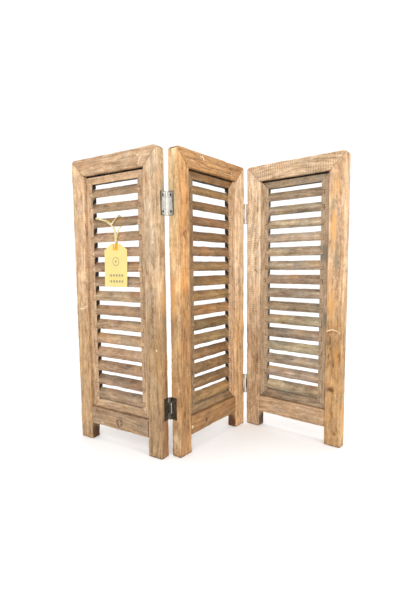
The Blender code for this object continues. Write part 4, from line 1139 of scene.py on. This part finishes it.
def twisted_cord(line, radius, around, turns):
    """A cord's rings: radius times (1 + a small wave of three ribs round it), turned steadily
    along. Its ends are a little thinner."""
    one, two = carried_frames(line)
    angle = np.arange(around) / around * TAU
    travel = np.concatenate([[0], np.cumsum(np.linalg.norm(np.diff(line, axis=0), axis=1))])
    phase = travel * turns * TAU
    wave = 1 + 0.13 * np.cos(3 * angle[None] + phase[:, None]) + 0.07 * np.sin(
        2 * angle[None] - 0.6 * phase[:, None] + 5 * np.sin(travel * 60)[:, None])
    size = radius * wave
    size[[0, -1]] *= 0.7
    rings = line[:, None] + size[..., None] * (np.cos(angle)[None, :, None] * one[:, None]
                                               + np.sin(angle)[None, :, None] * two[:, None])
    strand = np.stack([np.repeat(travel[:, None], around, axis=1),
                       np.repeat(angle[None], len(line), axis=0),
                       np.repeat(phase[:, None], around, axis=1)], axis=-1)
    return rings, {"strand": strand}


def raffia_look(name, tone):
    """Dry raffia: long split fibres and paler, drier patches."""
    made, g, shader = new_material(name)
    travel, angle, phase = g.split(g.attribute("strand", "Vector"))
    round_it = g.math("MULTIPLY_ADD", phase, 0.3, angle)
    fibres = g.noise(g.join(g.math("MULTIPLY", travel, 60.0), g.math("COSINE", round_it),
                            g.math("SINE", round_it)), 3.4, 3.0, 0.6)
    dry = g.noise(g.object_place(), 160.0, 2.0, 0.5)
    base = g.mix(g.range(fibres, 0.3, 0.68), shaded(tone, 0.55),
                 shaded(tone, 1.08))
    g.put(shader.inputs["Base Color"], g.mix(g.range(dry, 0.45, 0.75), base,
                                             DRY_TONE))
    g.put(shader.inputs["Roughness"], g.range(fibres, 0.2, 0.8, 0.55, 0.85))
    bump(g, shader, fibres, 0.0004)
    return made


def eyelet_sheet(outline, hole, radius, thickness, lift, rings):
    """A flat sheet round a hole, as rings from the hole's edge to the outline on the front and
    back again. outline holds (width, height) points seen from the hole; lift bends it."""
    share = np.linspace(0, 1, rings)
    way = outline / np.linalg.norm(outline, axis=1)[:, None]
    inner = way * radius
    flat = hole + inner[None] + share[:, None, None] * (outline - inner)[None]
    front = np.stack([flat[..., 0], lift(flat) - thickness / 2, flat[..., 1]], axis=-1)
    back = np.stack([flat[..., 0], lift(flat) + thickness / 2, flat[..., 1]], axis=-1)
    return np.concatenate([front, back[::-1]]), np.concatenate([flat, flat[::-1]])


def polygon_round(corners, about, count):
    """Points where rays from a point meet a convex outline, at even turns and at its corners."""
    corners = np.array(corners) - about
    turns = np.sort(np.concatenate([np.arange(count) / count * TAU - math.pi + 0.01,
                                    np.arctan2(corners[:, 1], corners[:, 0])]))
    way = np.stack([np.cos(turns), np.sin(turns)], axis=-1)
    edge = np.roll(corners, -1, axis=0) - corners
    normal = np.stack([edge[:, 1], -edge[:, 0]], axis=-1)
    level = (corners * normal).sum(axis=1)
    speed = way @ normal.T
    reach = np.where(speed * np.sign(level) > 1e-9, level / np.where(speed == 0, 1, speed), np.inf)
    return way * reach.min(axis=1)[:, None]


class DIVIDER_OT_tag(bpy.types.Operator):
    """Hang the tag on its raffia string from the left panel's third slat"""

    bl_idname = "divider.tag"
    bl_label = "Hang tag"

    def execute(self, context):
        s = context.scene.divider.tag
        panel = PANELS["left"]
        raffia = raffia_look("raffia", tuple(s.raffia))
        line = panel.world(smooth_route(STRING_ROUTE, 4))
        rings, strand = twisted_cord(line, 0.6 * s.string_diameter, 12, 90)
        string = piece("tag_raffia", [tube(rings)], raffia, panel.body,
                       ["tag_string"], 60, flat_data(strand))
        # a second ply lies beside the first, a little apart where they wander
        plain = smooth_route(STRING_ROUTE, 4)
        apart = 1 + 0.35 * wander(71, plain, 30 * MM, 2)[:, None]
        rings, strand = twisted_cord(panel.world(plain + apart * np.array([-1.7, -0.5, -1.0]) * MM),
                                     0.5 * s.string_diameter, 10, 70)
        ply = piece("tag_raffia_ply", [tube(rings)], raffia, panel.body, [], 60,
                    flat_data(strand))
        rings, strand = twisted_cord(panel.world(knot_route()), 0.62 * s.string_diameter, 10, 90)
        knot = piece("tag_knot", [tube(rings)], raffia, panel.body, [], 60,
                     flat_data(strand))
        self.card(s, panel)
        patch = self.patch(s, panel)
        return {"FINISHED"}

    def card(self, s, panel):
        """The card: cut top corners and a square bottom, bent a little like a page."""
        low, high = panel.box("hang_tag")
        wide, tall = high[0] - low[0], high[2] - low[2]
        middle = (low[0] + high[0]) / 2
        half, (cut, drop) = wide / 2, TAG_CUT
        corners = np.array([(-half, -tall), (half, -tall), (half, -drop), (half - cut, 0),
                            (cut - half, 0), (-half, -drop)])
        corners += (middle, high[2])
        hole = np.array([middle, high[2] - TAG_HOLE_DROP])
        back = (low[1] + high[1]) / 2

        def lift(flat):
            down = (high[2] - flat[..., 1]) / tall
            beside = (flat[..., 0] - middle) / wide
            return back - s.curl * down**2 * (0.4 + 1.6 * (beside + 0.1)**2 * 2)

        rings, flat = eyelet_sheet(polygon_round(corners, hole, 84), hole, TAG_HOLE_RADIUS,
                                   high[1] - low[1], lift, 18)
        sheet = np.stack([(flat[..., 0] - middle), (high[2] - flat[..., 1]),
                          np.zeros(flat.shape[:-1])], axis=-1)
        return piece("tag_card", [hoop(panel.world(rings))], self.card_look(s), panel.body,
                     ["hang_tag"], 40, {"sheet": sheet.reshape(-1, 3)})

    def card_look(self, s):
        """Card with a plain ring round a dot, two rows of beads and a thin rule between them."""
        made, g, shader = new_material("tag_card_print")
        x, down, _ = g.split(g.attribute("sheet", "Vector"))
        place = g.object_place()
        pulp = g.noise(place, 900.0, 3.0, 0.6)
        cloud = g.noise(place, 45.0, 2.0, 0.5)
        card = tuple(s.card)
        paper = g.mix(g.range(cloud, 0.3, 0.7), shaded(card, 0.93),
                      shaded(card))
        paper = g.mix(g.range(pulp, 0.35, 0.7), g.tint(paper, (0.93, 0.92, 0.86)), paper)
        from_ring = g.math("SQRT", g.math("ADD", g.math("MULTIPLY", x, x), g.math(
            "POWER", g.math("SUBTRACT", down, RING_DOWN), 2.0)))
        ring = g.math("LESS_THAN", g.math("ABSOLUTE", g.math("SUBTRACT", from_ring, 9.2 * MM)),
                      0.8 * MM)
        dot = g.math("LESS_THAN", from_ring, 2.6 * MM)

        def bar(at, half_tall, half_wide):
            return g.math("MULTIPLY",
                          g.math("LESS_THAN", g.math("ABSOLUTE", g.math("SUBTRACT", down, at)),
                                 half_tall),
                          g.math("LESS_THAN", g.math("ABSOLUTE", x), half_wide))

        beads = g.math("GREATER_THAN", g.math("SINE", g.math("MULTIPLY", x, TAU / BEAD_PITCH)),
                       -0.45)
        rows = [bar(down_to, 2.8 * MM, 22 * MM) for down_to in BEAD_ROWS]
        print_mask = g.math("ADD", g.math("ADD", ring, dot), g.math(
            "MULTIPLY", beads, g.math("ADD", *rows)), clamp=True)
        rubbed = g.range(pulp, 0.25, 0.55, 0.8, 0.98)
        paper = g.mix(g.math("MULTIPLY", print_mask, rubbed), paper, shaded(s.ink))
        paper = g.mix(g.math("MULTIPLY", bar(RULE_DOWN, 0.8 * MM, 20 * MM), 0.8), paper,
                      (0.90, 0.50, 0.06, 1))
        g.put(shader.inputs["Base Color"], paper)
        g.put(shader.inputs["Roughness"], g.range(pulp, 0.2, 0.8, 0.6, 0.8))
        bump(g, shader, pulp, 0.0001)
        return made

    def patch(self, s, panel):
        """The square paper patch round the eyelet."""
        low, high = panel.box("tag_patch")
        corners = np.array([(low[0], low[2]), (high[0], low[2]), (high[0], high[2]),
                            (low[0], high[2])])
        hole = np.array([(low[0] + high[0]) / 2, panel.box("hang_tag")[1][2] - TAG_HOLE_DROP])
        back = (low[1] + high[1]) / 2
        rings, _ = eyelet_sheet(polygon_round(corners, hole, 40), hole, TAG_HOLE_RADIUS,
                                high[1] - low[1], lambda flat: back + 0 * flat[..., 0], 5)
        made, g, shader = new_material("patch_paper_print")
        place = g.object_place()
        pulp = g.noise(place, 700.0, 3.0, 0.6)
        tone = tuple(s.patch)
        g.put(shader.inputs["Base Color"], g.mix(g.range(pulp, 0.3, 0.7), shaded(tone, 0.82), shaded(tone)))
        g.put(shader.inputs["Roughness"], g.range(pulp, 0.2, 0.8, 0.5, 0.75))
        bump(g, shader, pulp, 0.0001)
        return piece("tag_paper_patch", [hoop(panel.world(rings))], made, panel.body,
                     ["tag_patch"], 40)


# ---- boards -------------------------------------------------------------------------------


class DIVIDER_OT_frames(bpy.types.Operator):
    """Build the mitred outer frames of the three panels"""

    bl_idname = "divider.frames"
    bl_label = "Outer frames"

    def execute(self, context):
        s = context.scene.divider.wood
        for number, side in enumerate(SIDES):
            panel = PANELS[side]
            look = wood_look(f"{side}_frame_boards", 1.15 * s.streaks, s.saw_marks)
            rail_look = wood_look(f"{side}_rail_boards", s.streaks, s.saw_marks)
            for order, part in enumerate(("stile_left", "stile_right", "top_rail",
                                          "bottom_rail")):
                name = f"{side}_{part}"
                low, high = self.size(panel, part, name)
                foot = s.foot_rounding if "stile" in part else 0.0
                shell, data = board(panel, name, low, high, self.ends(part, low, high), s.arris,
                                    100 + 20 * number + 3 * order, foot=foot)
                bottom = part == "bottom_rail"
                piece(f"{name}_board", [shell], rail_look if bottom else look, panel.body,
                      [name], 40, data)
        return {"FINISHED"}

    def size(self, panel, part, name):
        """The board's corners. The bottom rail's tenons are hidden, so it stops at the stiles."""
        low, high = panel.box(name)
        if part == "bottom_rail":
            edge = STILE_HIGH[0] + GLUE_GAP
            low[0], high[0] = edge, PANEL_WIDTH - edge
        return low, high

    def ends(self, part, low, high):
        """Where the board starts and stops at each place across it: a foot or a mitre, cut off
        by the panel's rounded corner."""
        gap = GLUE_GAP / 2

        def seam(out):
            return 0.55 * np.clip((out - 0.3 * CORNER_RADIUS) / (0.5 * CORNER_RADIUS), 0, 1)

        def upright(across):
            out = across - low[0] if part == "stile_left" else high[0] - across
            top = PANEL_HEIGHT - np.maximum(out + gap, soft_end(out, CORNER_RADIUS))
            return np.zeros_like(across), top, seam(out)

        def level(across):
            if part == "bottom_rail":
                return np.full_like(across, low[0]), np.full_like(across, high[0]), 0.35
            down = PANEL_HEIGHT - across
            start = np.maximum(down + gap, soft_end(down, CORNER_RADIUS))
            return start, PANEL_WIDTH - start, seam(down)

        return upright if "stile" in part else level


class DIVIDER_OT_louvre_frames(bpy.types.Operator):
    """Build the thinner frames set back in the outer ones"""

    bl_idname = "divider.louvre_frames"
    bl_label = "Louvre frames"

    def execute(self, context):
        s = context.scene.divider.wood
        for number, side in enumerate(SIDES):
            panel = PANELS[side]
            look = wood_look(f"{side}_louvre_boards", 1.15 * s.streaks, s.saw_marks)
            stile = panel.box(f"{side}_louvre_stile_left")[1][0]
            for order, part in enumerate(("louvre_rail_top", "louvre_rail_bottom")):
                name = f"{side}_{part}"
                low, high = panel.box(name)
                up = part == "louvre_rail_bottom"

                def ends(across, low=low, high=high, up=up):
                    share = (across - low[2]) / (high[2] - low[2])
                    share = share if up else 1 - share
                    start = low[0] + share * (stile - low[0]) + GLUE_GAP / 2
                    return start, PANEL_WIDTH - start, 0.7

                groove = (0, 1.5 * MM) if up else (1, s.groove)
                shell, data = board(panel, name, low, high, ends, s.louvre_arris,
                                    300 + 20 * number + 3 * order, 7, 3, groove=groove)
                piece(f"{name}_board", [shell], look, panel.body, [name],
                      40, data)
            for end in ("left", "right"):
                name = f"{side}_louvre_stile_{end}"
                node = frame["nodes"][name]
                finish = notched_look(f"{name}_wood", panel, TONES[name][0], s.streaks,
                                      0.3 * s.saw_marks, SLAT_SHADOW_SHARE[side])
                for place in range(len(node.material_slots)):
                    node.material_slots[place].material = finish
        return {"FINISHED"}


class DIVIDER_OT_slats(bpy.types.Operator):
    """Build the fifteen sloping slats of each panel"""

    bl_idname = "divider.slats"
    bl_label = "Slats"

    def execute(self, context):
        s = context.scene.divider.wood
        for number, side in enumerate(SIDES):
            panel = PANELS[side]
            look = wood_look(f"{side}_slat_boards", 1.15 * s.streaks, 0.4 * s.saw_marks)
            shells, rows = [], []
            for slat in range(SLAT_COUNT):
                shell, data = self.slat(panel, side, slat, s, 500 + 40 * number + slat)
                shells.append(shell)
                rows.append(data)
            data = {title: np.concatenate([row[title] for row in rows]) for title in rows[0]}
            piece(f"{side}_slat_boards", shells, look, panel.body,
                  [f"{side}_slats"], 40, data)
        return {"FINISHED"}

    def slat(self, panel, side, slat, s, seed):
        """A rounded rectangle sheared up towards the back, carried along the width, with a
        little bow, twist and chipping. Between the stiles its lower edge hangs deeper."""
        draw = np.random.default_rng(seed)
        ends = SLAT_START + draw.uniform(0, 1.6, 2) * MM
        shoulders = LOUVRE_EDGE + np.array([0.2, 0.6]) * MM
        run = np.sort(np.concatenate([np.linspace(ends[0], PANEL_WIDTH - ends[1], SLAT_STATIONS),
                                      shoulders, PANEL_WIDTH - shoulders]))
        section = Section(4, 4, 4)
        station = np.zeros((len(run), 4, 3))
        station[..., 0] = run[:, None]
        station[..., 1] = np.arange(4) * SLAT_ARRIS_APART
        reach = s.slat_arris * (1 + 0.6 * wander(seed, station, 46 * MM))
        past = np.minimum(run, PANEL_WIDTH - run) - shoulders[0]
        drop = (s.low_drop if slat == 0 else s.slat_drop) / 2 * np.clip(past / (0.4 * MM), 0, 1)
        half = np.stack([SLAT_FACE / 2 + drop + draw.uniform(-1, 1) * s.slat_play,
                         np.full(len(run), LOUVRE_DEPTH / 2)], axis=-1)
        ring = section.points(half, np.clip(reach, 0.5 * MM, 2.6 * MM))
        ring = np.concatenate([ring[:1] * 0.5, ring, ring[-1:] * 0.5])
        run = np.concatenate([run[:1], run, run[-1:]])
        drop = np.concatenate([drop[:1], drop, drop[-1:]])[:, None]
        share = (run / PANEL_WIDTH)[:, None]
        lift = draw.uniform(-1, 1, 3) * s.slat_play
        local = np.empty(ring.shape[:2] + (3,))
        local[..., 0] = run[:, None]
        local[..., 1] = LOUVRE_FRONT + LOUVRE_DEPTH / 2 + ring[..., 1]
        middle = SLATS_LOW + SLAT_PITCH * slat + (SLAT_FACE + SLAT_RISE) / 2 - drop
        local[..., 2] = (middle + ring[..., 0] + SLAT_SLOPE * ring[..., 1] + lift[0]
                         + lift[1] * (share - 0.5) * 2 + lift[2] * 4 * share * (1 - share))
        local[..., 1] -= 0.1 * MM * wander(seed + 5, local, 20 * MM) * section.way[:, 1]
        grain = np.stack([local[..., 0], ring[..., 0] + draw.uniform(0, 9),
                          ring[..., 1] + draw.uniform(0, 9)], axis=-1)
        grain[..., 1] += 2.5 * MM * wander(seed + 12, local, 200 * MM, 2)
        arris = np.clip(section.arris * (0.55 + 0.6 * wander(seed + 13, local, 30 * MM)), 0, 1)
        # painted shade along the slat's lower edges, sent as the crevice channel; the end grain channel
        # stays empty
        under = np.clip(-section.way[:, 0] - 0.3, 0, 0.5) * 1.4 * (section.way[:, 1] > -0.9)
        wear = (np.zeros(local.shape[:-1]), np.repeat(0.9 * under[None], len(run), axis=0))
        tone = self.tone(side, draw, local, ring[..., 0] / (SLAT_FACE / 2), ends.max(), seed)
        data = board_data(f"{side}_slats", local, grain, arris, wear, seed, tone)
        return tube(panel.world(local)), flat_data(data)

    def tone(self, side, draw, local, height, start, seed):
        """The slat's own colour with painted light towards its upper edge and painted shade towards its
        lower one. Over the notches at its ends it takes the louvre stiles' colours."""
        value = 1 + draw.uniform(-0.22, 0.22)
        hue = 1 + draw.uniform(-0.05, 0.05, 3)
        tone = np.array(TONES[f"{side}_slats"][0]) * value * hue
        slat_shade = draw.uniform(*SLAT_SHADE[side]) * height
        tone = tone * (1 + slat_shade[..., None] + 0.12 * wander(seed + 9, local, 50 * MM)[..., None])
        bare = np.ones(local.shape[:-1] + (1,))
        edges = start + 7.2 * MM + draw.uniform(-1.6, 0.8, 2) * MM
        across = local[..., 0]
        for end, edge, from_end in zip(("left", "right"), edges, (across, PANEL_WIDTH - across)):
            stile = np.array(TONES[f"{side}_louvre_stile_{end}"][0])
            over = np.clip((edge - from_end) / (0.8 * MM) + 0.5, 0, 1)[..., None]
            bare = bare * (1 - over) + over * stile / tone
        return tone * bare


# ---- hinges -------------------------------------------------------------------------------


def box_tube(low, high):
    """A small bar: two rectangles joined, with a fan at each end."""
    (x0, y0, z0), (x1, y1, z1) = low, high
    return tube(np.array([[(x0, y0, z), (x1, y0, z), (x1, y1, z), (x0, y1, z)]
                          for z in (z0, z1)]))


def revolved(profile, sides, closed):
    """A profile of (radius, height) turned about the upright axis."""
    angle = np.arange(sides) / sides * TAU
    rings = np.array([[(radius * math.cos(a), radius * math.sin(a), height) for a in angle]
                      for radius, height in profile])
    return hoop(rings) if closed else tube(rings)


# A leaf lies beside the hinge's axis, from its inner face out, and on both sides of the middle.
LEAF_INNER = 1.5 * MM
LEAF_START = 3.2 * MM
LEAF_REACH = 17.2 * MM
LEAF_HALF = 25 * MM
CENTRE_KNUCKLE = 24 * MM
SCREW_REACH = 10 * MM
SCREW_SPREAD = 17 * MM
SCREW_SIDES = 48
SCREW_TONES = (0.20, 0.18, 0.15), (0.05, 0.04, 0.03)
PIN_TONES = (0.80, 0.78, 0.74), (0.40, 0.37, 0.32)


class DIVIDER_OT_hinges(bpy.types.Operator):
    """Build the butt hinges: leaves with rolled knuckles, pins and cross-headed screws"""

    bl_idname = "divider.hinges"
    bl_label = "Hinges"

    def execute(self, context):
        s = context.scene.divider.hinge
        bright = metal_look("worn_nickel", tuple(s.nickel), tuple(s.nickel_tarnish), 0.36)
        dull = metal_look("aged_bronze", tuple(s.bronze), tuple(s.bronze_tarnish), 0.6)
        screw = metal_look("screw_nickel", *SCREW_TONES, 0.5)
        pin = metal_look("pin_nickel", *PIN_TONES, 0.3)
        for side, turn, joint in (("left", math.pi, "left_fold"), ("right", 0.0, "right_fold")):
            for level in ("top", "bottom"):
                metal = dull if (side, level) == ("left", "bottom") else bright
                name = f"{side}_hinge_{level}"
                height = node_points(f"{name}_pin")[:, 2].mean()
                for kind, hand, panel in (("fixed", -1, PANELS["middle"]),
                                          ("moving", 1, PANELS[side])):
                    centre = panel.local(AXIS[joint])
                    centre[2] = height

                    def place(points, centre=centre, turn=turn, panel=panel):
                        cos, sin = math.cos(turn), math.sin(turn)
                        spin = np.array([[cos, sin, 0], [-sin, cos, 0], [0, 0, 1]])
                        return panel.world(points @ spin + centre)

                    plain = self.leaf(s, hand, kind == "fixed")
                    # painted shade on each plate, point by point
                    grime = np.concatenate([self.grime(points) for points, _ in plain])
                    piece(f"{name}_{kind}_plate", [(place(p), f) for p, f in plain], metal,
                          panel.body, [f"{name}_{kind}_leaf"], 32,
                          {"grime": grime})
                    for spot, lift in (("lower", -SCREW_SPREAD), ("upper", SCREW_SPREAD)):
                        points, faces = self.screw(s)
                        points = np.stack([hand * (LEAF_INNER - points[:, 2]),
                                           SCREW_REACH + points[:, 0], lift + points[:, 1]],
                                          axis=-1)
                        piece(f"{name}_{kind}_screw_{spot}_head", [(place(points), faces)],
                              screw, panel.body,
                              [f"{name}_{kind}_screw_{spot}"], 32)
                    if kind == "fixed":
                        points, faces = self.pin()
                        piece(f"{name}_pin_rod", [(place(points), faces)], pin, panel.body,
                              [f"{name}_pin"], 32)
        return {"FINISHED"}

    def grime(self, points):
        """Painted shade on the plate, darker than the bright barrel: most at its long outer edge, some at
        its ends, none beside the barrel.
        """
        reach, height = points[:, 1] / MM, np.abs(points[:, 2]) / MM
        edge, end = (LEAF_REACH - 2.6 * MM) / MM, (LEAF_HALF - 1.4 * MM) / MM
        dirt = np.maximum(np.clip((reach - edge) / 1.8, 0, 1), 0.75 * np.clip(height - end, 0, 1))
        on_barrel = np.hypot(points[:, 0], points[:, 1]) < 3 * MM
        plate = 0.34 * np.clip((reach - 4.5) / 4, 0, 1)
        return np.where(on_barrel, 0.0, np.maximum(plate, dirt))[:, None] * np.ones(3)

    def leaf(self, s, hand, outer_knuckles):
        """A plate as two sheets round their countersunk holes, tabs and rolled knuckles."""
        inner, outer = LEAF_INNER, LEAF_INNER + s.leaf_thickness
        cut = 0.7 * MM
        shells = []
        for end in (-1, 1):
            corners = np.array([(LEAF_START, 0), (LEAF_REACH, 0), (LEAF_REACH, LEAF_HALF - cut),
                                (LEAF_REACH - cut, LEAF_HALF), (LEAF_START, LEAF_HALF)])
            corners = (corners * (1, end))[::end]
            hole = np.array([SCREW_REACH, end * SCREW_SPREAD])
            edge = polygon_round(corners, hole, 40)
            way = edge / np.linalg.norm(edge, axis=1)[:, None]
            rings = []
            for at, x in ((edge * 0.985, inner), (edge * 0.78, inner),
                          (0.5 * edge + way * 1.6 * MM, inner),
                          (way * 3.1 * MM, inner), (way * 1.75 * MM, outer),
                          (edge, outer), (edge, inner + 0.2 * MM)):
                rings.append(np.stack([np.full(len(at), hand * x), hole[0] + at[:, 0],
                                       hole[1] + at[:, 1]], axis=-1))
            shells.append(hoop(np.array(rings)))
        middle = CENTRE_KNUCKLE / 2
        apart = middle + GLUE_GAP
        spans = [(-LEAF_HALF, -apart), (apart, LEAF_HALF)] if outer_knuckles else [(-middle, middle)]
        for low, high in spans:
            x0, x1 = sorted((hand * inner, hand * outer))
            shells.append(box_tube((x0, 0.6 * MM, low), (x1, LEAF_START + 0.4 * MM, high)))
            lip = 0.3 * MM
            profile = [(s.bore, low), (s.barrel - lip, low), (s.barrel, low + lip),
                       (s.barrel, high - lip), (s.barrel - lip, high), (s.bore, high)]
            shells.append(revolved(profile, s.sides, True))
        return shells

    def pin(self):
        """A rod with a slightly domed button at each end."""
        end, head, rod = 26.0, 2.1, 1.1
        half = [(0.7, end), (1.5, end - 0.08), (head, end - 0.3), (head, end - 0.7),
                (rod, end - 0.7)]
        profile = np.array(half + [(r, -z) for r, z in half[::-1]]) * MM
        return revolved(profile.tolist(), 24, False)

    def screw(self, s):
        """A countersunk screw. Its head dips where either arm of the cross lies: the depth is a
        smooth step across the arm's width."""
        angle = np.arange(SCREW_SIDES) / SCREW_SIDES * TAU
        even = np.ones(SCREW_SIDES)
        rings = [(radius * even, height * even) for radius, height in (
            (0.25, -13), (1.3, -10.4), (1.3, -1.5), (2.7, -0.12))]
        arm_wide, arm_long, head = 0.42, 1.75, 2.8
        for radius in np.linspace(2.68, 0.12, 15) * (s.screw_head / (head * MM)):
            x, y = np.abs(radius * np.cos(angle)), np.abs(radius * np.sin(angle))
            arm = np.minimum(np.maximum(x / arm_wide, y / arm_long),
                             np.maximum(y / arm_wide, x / arm_long))
            dip = np.clip((1.25 - arm) / 0.5, 0, 1)
            dome = 0.05 * (1 - (radius / head)**2)
            rings.append((radius * even, dome - 0.75 * dip**2 * (3 - 2 * dip)))
        points = np.array([np.stack([r * np.cos(angle), r * np.sin(angle), z], axis=-1)
                           for r, z in rings])
        return tube(points * MM)


# ---- panel, registration and running ------------------------------------------------------

STEPS = (DIVIDER_OT_camera, DIVIDER_OT_tag, DIVIDER_OT_stage, DIVIDER_OT_frames,
         DIVIDER_OT_louvre_frames, DIVIDER_OT_slats, DIVIDER_OT_hinges)


class DIVIDER_PT_build(bpy.types.Panel):
    """Lists the steps that build the divider"""

    bl_label = "Folding Room Divider"
    bl_idname = "DIVIDER_PT_build"
    bl_space_type = "VIEW_3D"
    bl_region_type = "UI"
    bl_category = "Divider"

    def draw(self, context):
        for step in STEPS:
            self.layout.operator(step.bl_idname)
        for title in ("view", "wood", "hinge", "tag"):
            settings = getattr(context.scene.divider, title)
            box = self.layout.box()
            for prop in settings.bl_rna.properties:
                if prop.identifier not in ("rna_type", "name"):
                    box.prop(settings, prop.identifier)


CLASSES = (ViewSettings, WoodSettings, HingeSettings, TagSettings, DividerSettings, *STEPS,
           DIVIDER_PT_build)


def register():
    for entry in CLASSES:
        bpy.utils.register_class(entry)
    bpy.types.Scene.divider = PointerProperty(type=DividerSettings)


def unregister():
    del bpy.types.Scene.divider
    for entry in reversed(CLASSES):
        bpy.utils.unregister_class(entry)


def main():
    register()
    for step in STEPS:
        area, name = step.bl_idname.split(".")
        getattr(getattr(bpy.ops, area), name)()


if __name__ == "__main__":
    main()
